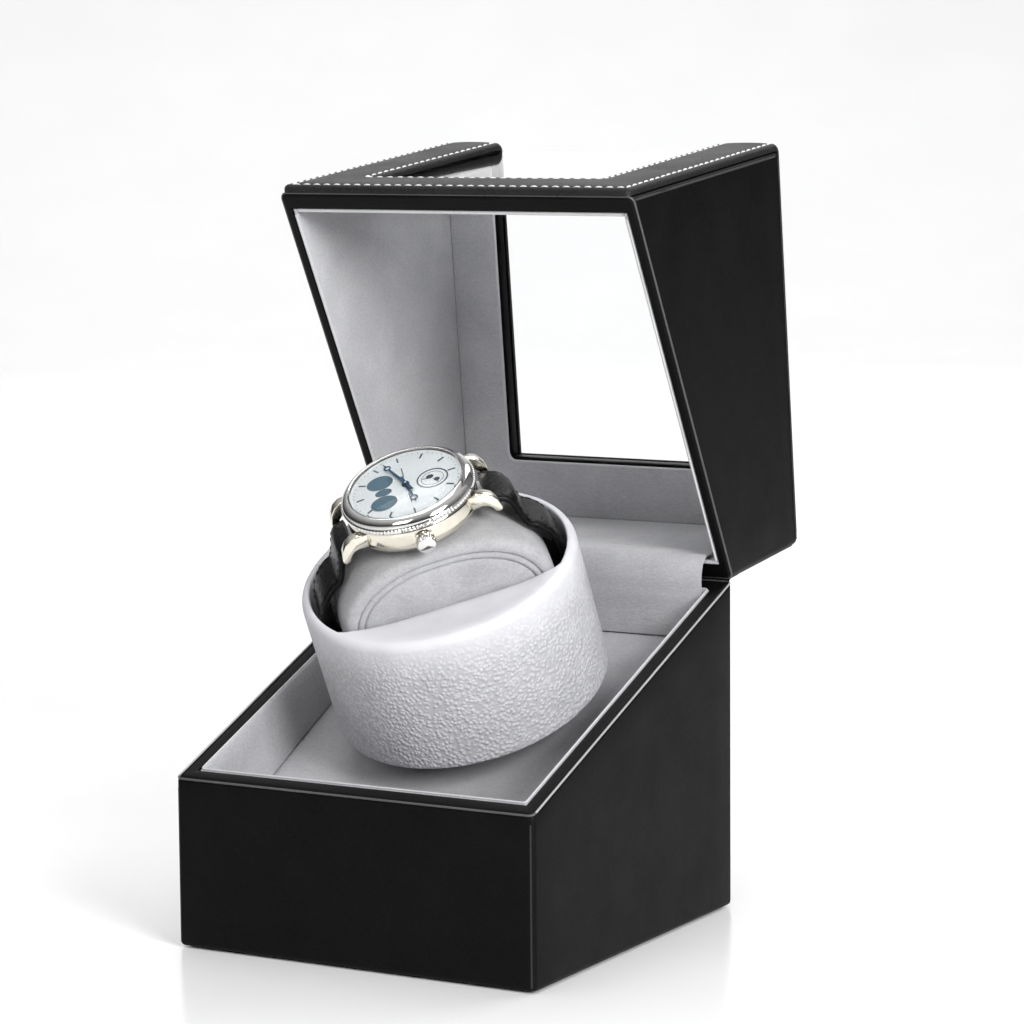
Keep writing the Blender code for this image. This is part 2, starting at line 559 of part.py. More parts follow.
def strap(name, sgn):
    """Leather strap from between the lugs, over the cushion's shoulder and down its end."""
    path = [(19.7, 79.1), (23.2, 78.5), (26.6, 76.2)] if sgn > 0 else [(23.4, 77.3), (25.2, 76.7), (27.0, 75.6)]
    t = math.acos((27.6 / 33.6) ** (2.35 / 2))
    for i in range(14):
        a = t + (-math.pi / 2 * 0.9 - t) * i / 13
        x, z = oval(a, hw=33.6 + 1.8, lo=25.6 - 1.7, hi=74.6 + 1.9)
        path.append((x, z))
    return ribbon(name, [(sgn * x, z) for x, z in path], 8.6, 2.2, "croc", parent=AX_SLOT, shift=(0, 0, 0), smooth=30)


strap("strap_right", 1.0)
strap("strap_left", -1.0)
buckle = prism("strap_buckle", [(-5.3, 22.4), (5.3, 22.4), (5.3, 24.9), (-5.3, 24.9)], "y", -10.6, 10.6, "steel", parent=AX_SLOT)
boolean(buckle, box_cut("buckle_window", (-2.6, -8.0, 18), (2.6, 8.0, 28), AX_SLOT))

# ---------------------------------------------------------------- hinge
RB = 1.5            # barrel
BORE = 0.95
P0 = -(HINGE_Z - rim(HINGE_Y)) / PERP     # the rim plane, below the axis
L0 = P0 + RIM_GAP


def leaf(name, z0, z1, spans, parent, mat="brass"):
    parts = [box_data((-HINGE_HALF, -4.9, z0), (HINGE_HALF, -2.05, z1))]
    ob = box(name, (-HINGE_HALF, -4.9, z0), (HINGE_HALF, -2.05, z1), mat, parent=parent)
    for i, (a, b) in enumerate(spans):
        boolean(ob, box_cut("%s_tab_%d" % (name, i), (a, -2.4, z0 + 0.02), (b, -0.4, z1 - 0.02), parent), "UNION")
        v, f = lathe_data([(0, a), (RB, a), (RB, b), (0, b)], 16, "x")
        boolean(ob, add("%s_knuckle_%d" % (name, i), v, f, None, parent=parent, guide=True), "UNION")
    boolean(ob, cyl_cut(name + "_bore", BORE, -HINGE_HALF - 2, HINGE_HALF + 2, 16, "x", parent=parent))
    return ob


leaf("hinge_leaf_base", P0 - 0.8, P0, ((-35.0, -12.2), (12.2, 35.0)), AX_HINGE)
leaf("hinge_leaf_lid", L0, L0 + 0.8, ((-11.8, 11.8),), AX_LID_HINGE)
lathe("hinge_pin", [(0, -35.1), (0.6, -35.1), (0.6, 35.1), (0, 35.1)], 12, "steel", axis="x", parent=AX_HINGE)

# velvet flap that covers the hinge inside, shown where it lies with the lid open
flap_path = [(p[0], p[1]) for p in smooth_curve([(57.35, 96.5, 0), (57.35, 99.5, 0), (57.3, 102.2, 0), (57.1, 105.0, 0), (57.5, 108.0, 0),
                                                (58.6, 110.7, 0), (60.6, 112.35, 0), (63.2, 112.6, 0), (68.0, 113.1, 0)], 1.6)]
ribbon("hinge_flap", flap_path, 55.2, 0.7, "velvet", axis="x", smooth=40)

# ---------------------------------------------------------------- lid, drawn closed and turned open by its frame
LID = dict(parent=AX_LID, shift=(0, HINGE_Y, HINGE_Z))
TOP_IN = HEIGHT - SKIN - GAP              # outer face of the top board
lid_low = lambda y: lid_rim(y) + (SKIN + GAP) * PERP
lid_side = [(-63.0, lid_low(-63.0)), (63.0, lid_low(63.0)), (63.0, TOP_IN), (-63.0, TOP_IN)]
prism("lid_left", lid_side, "x", -61.4, -59.6, "board", **LID)
prism("lid_right", lid_side, "x", 59.6, 61.4, "board", **LID)
lid_back = prism("lid_back", [(59.8, lid_low(59.8)), (63.4, lid_low(63.4)), (63.4, TOP_IN), (59.8, TOP_IN)], "x", -59.3, 59.3, "board", **LID)
boolean(lid_back, cyl_cut("hinge_clearance", 1.9, -HINGE_HALF - 0.6, HINGE_HALF + 0.6, 20, "x", parent=AX_LID))

xs = [-59.3, -WIN_X - 1.1, WIN_X + 1.1, 59.3]
front_path = [((-63.4, z), (-1, 0)) for z in (lid_low(-59.8) + 0.1, WIN_Z - 1.2, 149.5)]
sheet("lid_front", front_path, xs, lambda i, j: not (i == 1 and j == 1), -BOARD, 0, "board", **LID)
top_path = [((y, TOP_IN), (0, 1)) for y in (-63.4, WIN_Y + 1.4, 59.5)]
sheet("lid_top", top_path, xs, lambda i, j: not (i == 0 and j == 1), -BOARD, 0, "board", **LID)

lid_leather = ring("lid_leather", [
    (HX - 0.6, -HY + 0.6, HY - 0.6, 1.6, lid_rim),
    (HX, -HY, HY, 2.0, lambda y: lid_rim(y) + 0.7),
    (HX, -HY, HY, 2.0, lambda y: HEIGHT - 1.0),
    (HX - 1.0, -HY + 1.0, HY - 1.0, 1.4, lambda y: HEIGHT),
    (52.5, -54.5, 54.5, 0.5, lambda y: HEIGHT),
    (52.5, -54.5, 54.5, 0.5, lambda y: HEIGHT - SKIN),
    (HX - SKIN, -HY + SKIN, HY - SKIN, 1.3, lambda y: HEIGHT - SKIN),
    (HX - SKIN, -HY + SKIN, HY - SKIN, 1.3, lambda y: lid_rim(y) + SKIN * PERP),
    (59.6, -59.8, 59.8, 0.4, lambda y: lid_rim(y) + SKIN * PERP),
    (59.6, -59.8, 59.8, 0.4, lid_rim),
], "black_leather", smooth=30, **LID)
boolean(lid_leather, box_cut("window_cut", (-WIN_X - 0.8, -70, WIN_Z - 0.9), (WIN_X + 0.8, WIN_Y + 1.2, 160), **LID))
boolean(lid_leather, box_cut("hinge_recess_lid", (-HINGE_HALF - 0.4, -5.7, -3.0), (HINGE_HALF + 0.4, 3.0, 1.9), AX_LID_HINGE))

# window pane, bent over the lid's front edge and set flush in the opening
pane_path = [((-HY, WIN_Z - 0.5), (-1, 0)), ((-HY, HEIGHT), (-1, 1)), ((WIN_Y + 0.8, HEIGHT), (0, 1))]
sheet("window_pane", pane_path, [-WIN_X - 0.5, WIN_X + 0.5], lambda i, j: True, -1.1, -0.1, "clear", **LID)

# stitched leather frame laid round the window, over the front and the top
RC = 0.8
bend = [((-HY + RC - RC * math.cos(a), HEIGHT - RC + RC * math.sin(a)), (-math.cos(a), math.sin(a)))
        for a in (0, math.pi / 6, math.pi / 3, math.pi / 2)]
trim_path = [((-HY, 53.4), (-1, 0)), ((-HY, WIN_Z), (-1, 0))] + bend + [((WIN_Y, HEIGHT), (0, 1)), ((62.6, HEIGHT), (0, 1))]
sheet("window_frame", trim_path, [-61.6, -WIN_X, WIN_X, 61.6], lambda i, j: j != 1 or i in (0, 6), GAP, GAP + TRIM, "black_leather", **LID)

# lining: the two sides and the back, then the frame round the window
wall = [(58.7, -57.9), (58.7, 58.9), (-58.7, 58.9), (-58.7, -57.9)]
v, f = [], []
for i, (x, y) in enumerate(wall):
    for s in (-0.6, 0.6):
        nx = 1 if x > 0 else -1
        ny = 1 if i in (1, 2) else 0
        px, py = x + nx * s, y + ny * s
        v += [(px, py, lid_rim(py) + 0.25), (px, py, 149.1)]
for i in range(3):
    a, b = 4 * i, 4 * i + 4
    f += [(a, b, b + 1, a + 1), (a + 2, b + 2, b + 3, a + 3), (a, b, b + 2, a + 2), (a + 1, b + 1, b + 3, a + 3)]
f += [(0, 1, 3, 2), (12, 13, 15, 14)]
add("lid_lining_walls", v, f, "velvet", **LID)
in_path = [((-HY, 55.6), (-1, 0)), ((-HY, WIN_Z), (-1, 0)), ((-HY, HEIGHT), (-1, 1)), ((WIN_Y + 1.6, HEIGHT), (0, 1)), ((57.9, HEIGHT), (0, 1))]
sheet("lid_lining_frame", in_path, [-57.8, -WIN_X, WIN_X, 57.8], lambda i, j: j != 1 or i in (0, 3), -6.2, -5.0, "velvet", **LID)

# ---------------------------------------------------------------- power cord: plug in the inlet, lead, coil, plug end
lathe("cord_plug", [(0.85, 56.4), (1.65, 56.4), (1.65, 66.4), (3.15, 66.4), (3.15, 79.0), (2.3, 82.0), (1.9, 90.0), (0, 90.0), (0, 64.2), (0.85, 64.2)],
      16, "cord_black", axis="y", centre=(JACK_X, 0, JACK_Z))
LEAD = [(JACK_X, 90.4, 16.0), (JACK_X, 94.0, 15.4), (-29.6, 98.6, 12.6), (-28.2, 102.6, 8.4), (-25.6, 106.4, 4.6), (-21.6, 110.3, 2.3),
        (-17.0, 114.2, 1.75), (-12.8, 117.2, 1.7)]
tube("cord_lead", smooth_curve(LEAD, 4.0), CORD_R, "cord_black")
lathe("cord_coil", [(COIL_R0 + 1, 0.15), (COIL_R1 - 1, 0.15), (COIL_R1, 1.2), (COIL_R1, COIL_H - 1), (COIL_R1 - 1.2, COIL_H), (COIL_R0 + 1.2, COIL_H),
                    (COIL_R0, COIL_H - 1), (COIL_R0, 1.2)], 32, "cord_black", centre=(COIL_X, COIL_Y, 0))
# the flat plug on the far end lies on the floor beside the coil; the cord reaches it over the coil's top
UX, UY = -25.9, 118.0      # where the cord enters the relief
UA = math.radians(138)
AX_USB = empty("usb_frame", (UX, UY, 0.0), 0.0, UA)
usb = box("usb_plug", (5.0, -7.5, 0.15), (22.0, 7.5, 8.0), "cord_black", parent=AX_USB)
boolean(usb, box_cut("usb_relief", (0.0, -2.2, 1.9), (5.4, 2.2, 6.2), AX_USB), "UNION")
boolean(usb, box_cut("usb_socket", (20.0, -6.4, 1.5), (24.0, 6.4, 6.6), AX_USB))
shell = box("usb_shell", (20.3, -6.0, 1.8), (34.0, 6.0, 6.3), "steel", parent=AX_USB)
boolean(shell, box_cut("usb_mouth", (22.0, -5.6, 2.2), (36.0, 5.6, 5.9), AX_USB))
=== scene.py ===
import math

import bmesh
import bpy
from mathutils import Euler, Matrix, Vector, noise


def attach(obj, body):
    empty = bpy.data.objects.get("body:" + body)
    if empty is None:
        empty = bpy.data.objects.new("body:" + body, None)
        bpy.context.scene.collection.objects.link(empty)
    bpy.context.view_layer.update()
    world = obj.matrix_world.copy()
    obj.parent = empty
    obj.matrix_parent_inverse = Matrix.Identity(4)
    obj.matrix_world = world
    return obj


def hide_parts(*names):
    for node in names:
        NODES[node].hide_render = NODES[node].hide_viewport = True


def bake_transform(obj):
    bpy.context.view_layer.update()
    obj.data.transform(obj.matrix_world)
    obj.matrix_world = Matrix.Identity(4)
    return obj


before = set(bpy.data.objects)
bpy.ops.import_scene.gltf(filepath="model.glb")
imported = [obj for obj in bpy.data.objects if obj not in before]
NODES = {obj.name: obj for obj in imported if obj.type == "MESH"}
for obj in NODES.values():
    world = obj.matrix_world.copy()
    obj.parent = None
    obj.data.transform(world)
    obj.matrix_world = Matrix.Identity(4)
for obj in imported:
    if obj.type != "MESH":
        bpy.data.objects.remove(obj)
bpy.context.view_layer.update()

MM = 0.001

# ------------------------------------------------------------------ dimensions repeated from the CAD source (mm)
HX, HY, HEIGHT = 62.5, 64.5, 154.5
RIM_FRONT, RIM_BACK = 52.5, 104.7
SLOPE = (RIM_BACK - RIM_FRONT) / 129.0
RIM_ANG = math.atan(SLOPE)
PERP = 1 / math.cos(RIM_ANG)
HINGE = Vector((0, 64.2, 105.6))
WIN_X, WIN_Z, WIN_Y = 40.5, 75.0, 38.8
DRUM_R, DRUM_LOW, DRUM_TOP = 43.5, 12.2, 58.2
JACK_X, JACK_Z = -30.0, 16.0
SWITCH_X, SWITCH_Z = 12.0, 16.0


def rim(y):
    return RIM_FRONT + (y + HY) * SLOPE


def lid_rim(y):
    return rim(y) + 0.4 * PERP


def plat(y):
    return 63.78 + (y - 13.86) * math.tan(math.radians(27))


T = Matrix.Translation
RX = lambda d: Matrix.Rotation(math.radians(d), 4, "X")
RZ = lambda d: Matrix.Rotation(math.radians(d), 4, "Z")
LID = T(HINGE) @ RX(-83.66) @ T(-HINGE)
LID_H = T(HINGE) @ RX(-83.66) @ Matrix.Rotation(RIM_ANG, 4, "X")
BASE_H = T(HINGE) @ Matrix.Rotation(RIM_ANG, 4, "X")
DRUM = T((0, 13.86, 63.78)) @ RX(27)
SLOT = DRUM @ RZ(38)
WATCH = SLOT @ T((-1.86, 0.06, 75.9)) @ Euler((math.radians(3.2), math.radians(-2.4), 0)).to_matrix().to_4x4()
USB = T((-25.9, 118.0, 0)) @ RZ(138)

# ------------------------------------------------------------------ camera, at the photograph's viewing angle
az, el, ro = map(math.radians, (-29.82, 6.88, -0.47))
R = (Matrix.Rotation(ro, 3, "Y") @ Matrix.Rotation(el, 3, "X") @ Matrix.Rotation(az, 3, "Z"))
cam = bpy.data.cameras.new("camera")
cam.lens, cam.sensor_width, cam.clip_start, cam.clip_end = 128.18, 36.0, 0.05, 60.0
cam_ob = bpy.data.objects.new("camera", cam)
bpy.context.scene.collection.objects.link(cam_ob)
m = Matrix.Identity(4)
for i in range(3):
    m[i][0], m[i][1], m[i][2] = R[0][i], R[2][i], -R[1][i]
m[0][3], m[1][3], m[2][3] = 0.5700, -0.9607, 0.2649
cam_ob.matrix_world = m
bpy.context.scene.camera = cam_ob
bpy.context.scene.view_settings.view_transform = "Standard"


# ------------------------------------------------------------------ materials
def new_mat(name, rough=0.5, metal=0.0, spec=0.5, **fixed):
    m = bpy.data.materials.new(name)
    m.use_nodes = True
    nt = m.node_tree
    p = nt.nodes["Principled BSDF"]
    p.inputs["Roughness"].default_value = rough
    p.inputs["Metallic"].default_value = metal
    p.inputs["Specular IOR Level"].default_value = spec
    for k, v in fixed.items():
        p.inputs[k.replace("_", " ")].default_value = v
    return m, nt, p


def coords(nt, scale=(1, 1, 1), kind="Object"):
    tc = nt.nodes.new("ShaderNodeTexCoord")
    mp = nt.nodes.new("ShaderNodeMapping")
    mp.inputs["Scale"].default_value = scale
    nt.links.new(tc.outputs[kind], mp.inputs["Vector"])
    return mp.outputs["Vector"]


def noise_node(nt, vec, scale, detail=3.0, rough=0.55, distortion=0.0):
    n = nt.nodes.new("ShaderNodeTexNoise")
    n.inputs["Scale"].default_value = scale
    n.inputs["Detail"].default_value = detail
    n.inputs["Roughness"].default_value = rough
    n.inputs["Distortion"].default_value = distortion
    nt.links.new(vec, n.inputs["Vector"])
    return n.outputs["Fac"]


def voronoi_node(nt, vec, scale, feature="DISTANCE_TO_EDGE", rand=1.0):
    n = nt.nodes.new("ShaderNodeTexVoronoi")
    n.feature = feature
    n.inputs["Scale"].default_value = scale
    n.inputs["Randomness"].default_value = rand
    nt.links.new(vec, n.inputs["Vector"])
    return n.outputs["Distance"]


def ramp(nt, fac, stops):
    n = nt.nodes.new("ShaderNodeValToRGB")
    e = n.color_ramp.elements
    while len(e) < len(stops):
        e.new(0.5)
    for el_, (pos, col) in zip(e, stops):
        el_.position = pos
        el_.color = (*col, 1.0) if len(col) == 3 else col
    nt.links.new(fac, n.inputs["Fac"])
    return n.outputs["Color"]


def rng(nt, fac, a, b, lo, hi):
    n = nt.nodes.new("ShaderNodeMapRange")
    for k, v in zip(("From Min", "From Max", "To Min", "To Max"), (a, b, lo, hi)):
        n.inputs[k].default_value = v
    nt.links.new(fac, n.inputs["Value"])
    return n.outputs["Result"]


def math_node(nt, op, a, b):
    n = nt.nodes.new("ShaderNodeMath")
    n.operation = op
    for i, x in enumerate((a, b)):
        if isinstance(x, (int, float)):
            n.inputs[i].default_value = x
        else:
            nt.links.new(x, n.inputs[i])
    return n.outputs["Value"]


def bump(nt, height, dist, strength=1.0, under=None):
    n = nt.nodes.new("ShaderNodeBump")
    n.inputs["Strength"].default_value = strength
    n.inputs["Distance"].default_value = dist
    nt.links.new(height, n.inputs["Height"])
    if under is not None:
        nt.links.new(under, n.inputs["Normal"])
    return n.outputs["Normal"]


def leather(name, dark, light, rough, cell, depth, wave=0.0, mottle=60, spec=0.5, **fixed):
    """Grained leather: pebbles from warped cells, fine pores, a slow mottling and, if asked, a slow wave of the surface."""
    m, nt, p = new_mat(name, rough, spec=spec, **fixed)
    v = coords(nt)
    warp = nt.nodes.new("ShaderNodeVectorMath")
    warp.operation = "MULTIPLY_ADD"
    nz = nt.nodes.new("ShaderNodeTexNoise")
    nz.inputs["Scale"].default_value = 0.6 / (cell * MM)
    nz.inputs["Detail"].default_value = 2.0
    nt.links.new(v, nz.inputs["Vector"])
    nt.links.new(nz.outputs["Color"], warp.inputs[0])
    warp.inputs[1].default_value = (cell * MM * 0.8,) * 3
    nt.links.new(v, warp.inputs[2])
    cells = voronoi_node(nt, warp.outputs["Vector"], 1.0 / (cell * MM))
    peb = rng(nt, cells, 0.0, 0.28, 0.0, 1.0)
    fine = noise_node(nt, v, 3.4 / (cell * MM), 2.0)
    h = math_node(nt, "ADD", peb, math_node(nt, "MULTIPLY", fine, 0.35))
    under = None
    if wave:
        under = bump(nt, noise_node(nt, v, 22.0, 2.0), wave * MM)
    nrm = bump(nt, h, depth * MM, 1.0, under)
    nt.links.new(nrm, p.inputs["Normal"])
    mot = noise_node(nt, v, mottle, 3.0)
    mixf = math_node(nt, "ADD", math_node(nt, "MULTIPLY", mot, 0.6), math_node(nt, "MULTIPLY", peb, 0.4))
    nt.links.new(ramp(nt, mixf, [(0.25, dark), (0.75, light)]), p.inputs["Base Color"])
    nt.links.new(rng(nt, mot, 0.3, 0.7, rough - 0.05, rough + 0.06), p.inputs["Roughness"])
    return m


def velvet(name, dark, light, depth=0.05, mottle=45.0, sheen=0.25):
    """Short pile: fine fibre noise, brushed patches."""
    m, nt, p = new_mat(name, 0.92, spec=0.15, Sheen_Weight=sheen, Sheen_Roughness=0.5)
    v = coords(nt)
    pile = noise_node(nt, v, 1500.0, 3.0, 0.75)
    tuft = noise_node(nt, coords(nt, (1, 1, 2.2)), 620.0, 2.0)
    brush = noise_node(nt, v, mottle, 3.0, 0.6, 0.6)
    f = math_node(nt, "ADD", math_node(nt, "MULTIPLY", brush, 0.4), math_node(nt, "ADD", math_node(nt, "MULTIPLY", pile, 0.4), math_node(nt, "MULTIPLY", tuft, 0.2)))
    nt.links.new(ramp(nt, f, [(0.32, dark), (0.68, light)]), p.inputs["Base Color"])
    n1 = bump(nt, tuft, depth * 1.6 * MM)
    nt.links.new(bump(nt, pile, depth * MM, 0.9, n1), p.inputs["Normal"])
    nt.links.new(rng(nt, brush, 0.3, 0.7, 0.86, 0.98), p.inputs["Roughness"])
    return m


def metal(name, col, rough, brushed=None, scale=900.0, depth=0.004):
    m, nt, p = new_mat(name, rough, 1.0)
    v = coords(nt, brushed or (1, 1, 1))
    n = noise_node(nt, v, scale, 3.0)
    nt.links.new(ramp(nt, n, [(0.3, tuple(c * 0.9 for c in col)), (0.7, col)]), p.inputs["Base Color"])
    nt.links.new(rng(nt, n, 0.3, 0.7, rough * 0.75, rough * 1.3), p.inputs["Roughness"])
    nt.links.new(bump(nt, n, depth * MM, 0.6), p.inputs["Normal"])
    return m


def plastic(name, col, rough, cell=0.35, depth=0.012, spec=0.5):
    m, nt, p = new_mat(name, rough, spec=spec)
    v = coords(nt)
    n = noise_node(nt, v, 1.0 / (cell * MM), 3.0)
    slow = noise_node(nt, v, 90.0, 2.0)
    nt.links.new(ramp(nt, slow, [(0.3, tuple(c * 0.86 for c in col)), (0.7, col)]), p.inputs["Base Color"])
    nt.links.new(rng(nt, n, 0.3, 0.7, rough - 0.05, rough + 0.05), p.inputs["Roughness"])
    nt.links.new(bump(nt, n, depth * MM), p.inputs["Normal"])
    return m


def g(x):
    return (x, x, x * 1.02)


M = {}
M["black_leather"] = leather("black_leather", g(0.0026), g(0.0052), 0.42, 0.75, 0.022, wave=0.14, spec=0.07)
M["frame_leather"] = leather("frame_leather", g(0.004), g(0.012), 0.46, 0.85, 0.09, spec=0.3)
M["edge_leather"] = leather("edge_leather", g(0.002), g(0.004), 0.34, 0.6, 0.012, spec=0.1)
# painted highlight: the rim beads are a light grey that stands in for the highlight along the turned edge; the bead
# itself is the real turned edge
M["seam"] = leather("seam", g(0.05), g(0.085), 0.32, 0.4, 0.01, spec=0.5)
# painted highlight: a lighter copy of the seam colour for the rim edge along the two sides, where the light falls on it
M["seam_painted_highlight"] = leather("seam_painted_highlight", g(0.26), g(0.38), 0.32, 0.4, 0.01, spec=0.6)
M["seam_dark"] = leather("seam_dark", g(0.011), g(0.018), 0.34, 0.4, 0.01, spec=0.4)
M["velvet"] = velvet("velvet", (0.30, 0.30, 0.315), (0.47, 0.47, 0.485), 0.09)
# painted highlight: a paler velvet for the thin beads along the lining's rounded edges, standing in for the light they
# catch
M["velvet_edge_highlight"] = velvet("velvet_edge_highlight", (0.42, 0.42, 0.43), (0.54, 0.54, 0.55), 0.02)
M["cushion_velvet"] = velvet("cushion_velvet", (0.27, 0.27, 0.28), (0.44, 0.44, 0.455), 0.12, 60.0)
M["thread"] = plastic("thread", (0.78, 0.78, 0.76), 0.6, 0.12, 0.03)
M["steel"] = metal("steel", (0.80, 0.79, 0.77), 0.09, None, 260.0, 0.0005)
M["steel_brushed"] = metal("steel_brushed", (0.78, 0.77, 0.73), 0.27, (1, 1, 14), 700.0, 0.008)
M["case_steel"] = metal("case_steel", (0.83, 0.79, 0.68), 0.13, None, 260.0, 0.0006)
M["zinc"] = metal("zinc", (0.5, 0.5, 0.51), 0.4, None, 500.0, 0.01)
M["brass"] = metal("brass", (0.72, 0.53, 0.22), 0.3, (1, 12, 1), 500.0, 0.008)
M["nylon"] = plastic("nylon", (0.74, 0.73, 0.68), 0.45)
M["abs_black"] = plastic("abs_black", (0.016, 0.016, 0.017), 0.42)
M["abs_grey"] = plastic("abs_grey", (0.22, 0.225, 0.235), 0.5)
M["rubber"] = plastic("rubber", (0.02, 0.02, 0.021), 0.5, 0.25, 0.02, 0.4)
M["wire_red"] = plastic("wire_red", (0.38, 0.02, 0.02), 0.4)
M["blue_steel"] = metal("blue_steel", (0.03, 0.09, 0.17), 0.22)
M["ink"] = plastic("ink", (0.02, 0.045, 0.07), 0.4, 0.2, 0.004)


def pebble_mat():
    """Pale grained leather: rounded pebbles that flatten towards the drum's top edge, with the grooves between them
    darkened in the colour as painted shade.
    """
    m, nt, p = new_mat("grey_leather", 0.5, spec=0.22)
    tc = nt.nodes.new("ShaderNodeTexCoord")
    mp = nt.nodes.new("ShaderNodeMapping")
    inv = DRUM.inverted().copy()
    e = inv.to_euler()
    t = inv.to_translation() * MM
    mp.inputs["Rotation"].default_value = e
    mp.inputs["Location"].default_value = t
    nt.links.new(tc.outputs["Object"], mp.inputs["Vector"])
    v = mp.outputs["Vector"]
    sep = nt.nodes.new("ShaderNodeSeparateXYZ")
    nt.links.new(v, sep.inputs[0])
    fade = rng(nt, sep.outputs["Z"], 0.0440, 0.0570, 1.0, 0.0)
    nz = nt.nodes.new("ShaderNodeTexNoise")
    nz.inputs["Scale"].default_value = 420.0
    nt.links.new(v, nz.inputs["Vector"])
    warp = nt.nodes.new("ShaderNodeVectorMath")
    warp.operation = "MULTIPLY_ADD"
    nt.links.new(nz.outputs["Color"], warp.inputs[0])
    warp.inputs[1].default_value = (0.00045,) * 3
    nt.links.new(v, warp.inputs[2])
    vo = nt.nodes.new("ShaderNodeTexVoronoi")
    vo.feature = "SMOOTH_F1"
    vo.inputs["Scale"].default_value = 1 / 0.00125
    vo.inputs["Smoothness"].default_value = 0.18
    nt.links.new(warp.outputs["Vector"], vo.inputs["Vector"])
    dome = rng(nt, vo.outputs["Distance"], 0.0, 0.68, 1.0, 0.0)
    fine = noise_node(nt, v, 2600.0, 2.0)
    h = math_node(nt, "ADD", math_node(nt, "MULTIPLY", dome, fade), math_node(nt, "MULTIPLY", fine, 0.08))
    soft = bump(nt, noise_node(nt, v, 55.0, 2.0), 0.25 * MM)
    nt.links.new(bump(nt, h, 0.36 * MM, 1.0, soft), p.inputs["Normal"])
    slow = noise_node(nt, v, 70.0, 3.0)
    # painted shade: the base colour is darkened in the grooves between the pebbles
    painted_groove_shade = math_node(nt, "MULTIPLY", math_node(nt, "SUBTRACT", 1.0, dome), fade)
    col = math_node(nt, "SUBTRACT", math_node(nt, "ADD", 0.55, math_node(nt, "MULTIPLY", slow, 0.5)), math_node(nt, "MULTIPLY", painted_groove_shade, 0.55))
    nt.links.new(ramp(nt, col, [(0.0, (0.34, 0.34, 0.355)), (0.85, (0.60, 0.60, 0.625))]), p.inputs["Base Color"])
    nt.links.new(rng(nt, fade, 0.0, 1.0, 0.8, 0.5), p.inputs["Roughness"])
    return m


M["grey_leather"] = pebble_mat()


def board_mat():
    m, nt, p = new_mat("board", 0.85, spec=0.2)
    v = coords(nt)
    fib = noise_node(nt, coords(nt, (1, 1, 5)), 700.0, 4.0, 0.7)
    slow = noise_node(nt, v, 60.0, 2.0)
    f = math_node(nt, "ADD", math_node(nt, "MULTIPLY", fib, 0.7), math_node(nt, "MULTIPLY", slow, 0.3))
    nt.links.new(ramp(nt, f, [(0.3, (0.23, 0.15, 0.085)), (0.7, (0.40, 0.29, 0.18))]), p.inputs["Base Color"])
    nt.links.new(bump(nt, fib, 0.05 * MM), p.inputs["Normal"])
    return m


def felt_mat():
    m, nt, p = new_mat("felt", 0.97, spec=0.1, Sheen_Weight=0.15)
    v = coords(nt)
    a = noise_node(nt, v, 900.0, 5.0, 0.8, 1.5)
    nt.links.new(ramp(nt, a, [(0.3, g(0.012)), (0.7, g(0.035))]), p.inputs["Base Color"])
    nt.links.new(bump(nt, a, 0.12 * MM), p.inputs["Normal"])
    return m


def clear_mat(name, ior, smudge):
    m, nt, p = new_mat(name, 0.02, Transmission_Weight=1.0, IOR=ior)
    n = noise_node(nt, coords(nt), 30.0, 3.0)
    nt.links.new(rng(nt, n, 0.3, 0.8, 0.005, smudge), p.inputs["Roughness"])
    p.inputs["Base Color"].default_value = (0.985, 0.99, 0.99, 1)
    return m


def dial_mat():
    m, nt, p = new_mat("dial_white", 0.38, spec=0.45)
    v = coords(nt)
    n = noise_node(nt, v, 1500.0, 3.0)
    nt.links.new(ramp(nt, n, [(0.3, (0.75, 0.80, 0.81)), (0.7, (0.86, 0.89, 0.90))]), p.inputs["Base Color"])
    nt.links.new(bump(nt, n, 0.006 * MM), p.inputs["Normal"])
    return m


def lobe_mat():
    m, nt, p = new_mat("moon_blue", 0.3, spec=0.5)
    v = coords(nt)
    n = noise_node(nt, v, 1400.0, 4.0, 0.75)
    nt.links.new(ramp(nt, n, [(0.35, (0.012, 0.06, 0.10)), (0.60, (0.03, 0.13, 0.19)), (0.78, (0.30, 0.45, 0.5))]), p.inputs["Base Color"])
    return m


def croc_mat():
    m, nt, p = new_mat("croc", 0.27, spec=0.13)
    v = coords(nt, (1, 1, 0.75))
    cells = voronoi_node(nt, v, 330.0, rand=0.75)
    sc = rng(nt, cells, 0.0, 0.16, 0.0, 1.0)
    fine = noise_node(nt, v, 1500.0, 3.0)
    nt.links.new(bump(nt, math_node(nt, "ADD", sc, math_node(nt, "MULTIPLY", fine, 0.15)), 0.035 * MM), p.inputs["Normal"])
    nt.links.new(ramp(nt, sc, [(0.0, g(0.0012)), (0.8, g(0.0035))]), p.inputs["Base Color"])
    nt.links.new(rng(nt, fine, 0.3, 0.7, 0.24, 0.38), p.inputs["Roughness"])
    return m


def pcb_mat():
    m, nt, p = new_mat("pcb_green", 0.4)
    v = coords(nt)
    tr = voronoi_node(nt, v, 260.0, rand=0.6)
    nt.links.new(ramp(nt, tr, [(0.02, (0.05, 0.30, 0.12)), (0.10, (0.012, 0.14, 0.05))]), p.inputs["Base Color"])
    nt.links.new(bump(nt, tr, 0.03 * MM), p.inputs["Normal"])
    return m


M["board"] = board_mat()
M["felt"] = felt_mat()
M["acrylic"] = clear_mat("acrylic", 1.10, 0.02)
M["crystal"] = clear_mat("crystal", 1.18, 0.01)
M["dial_white"] = dial_mat()
M["moon_blue"] = lobe_mat()
M["croc"] = croc_mat()
M["pcb_green"] = pcb_mat()


def paint(node, mat_):
    ob = NODES[node]
    ob.data.materials.clear()
    ob.data.materials.append(M[mat_])
    for pl in ob.data.polygons:
        pl.use_smooth = False


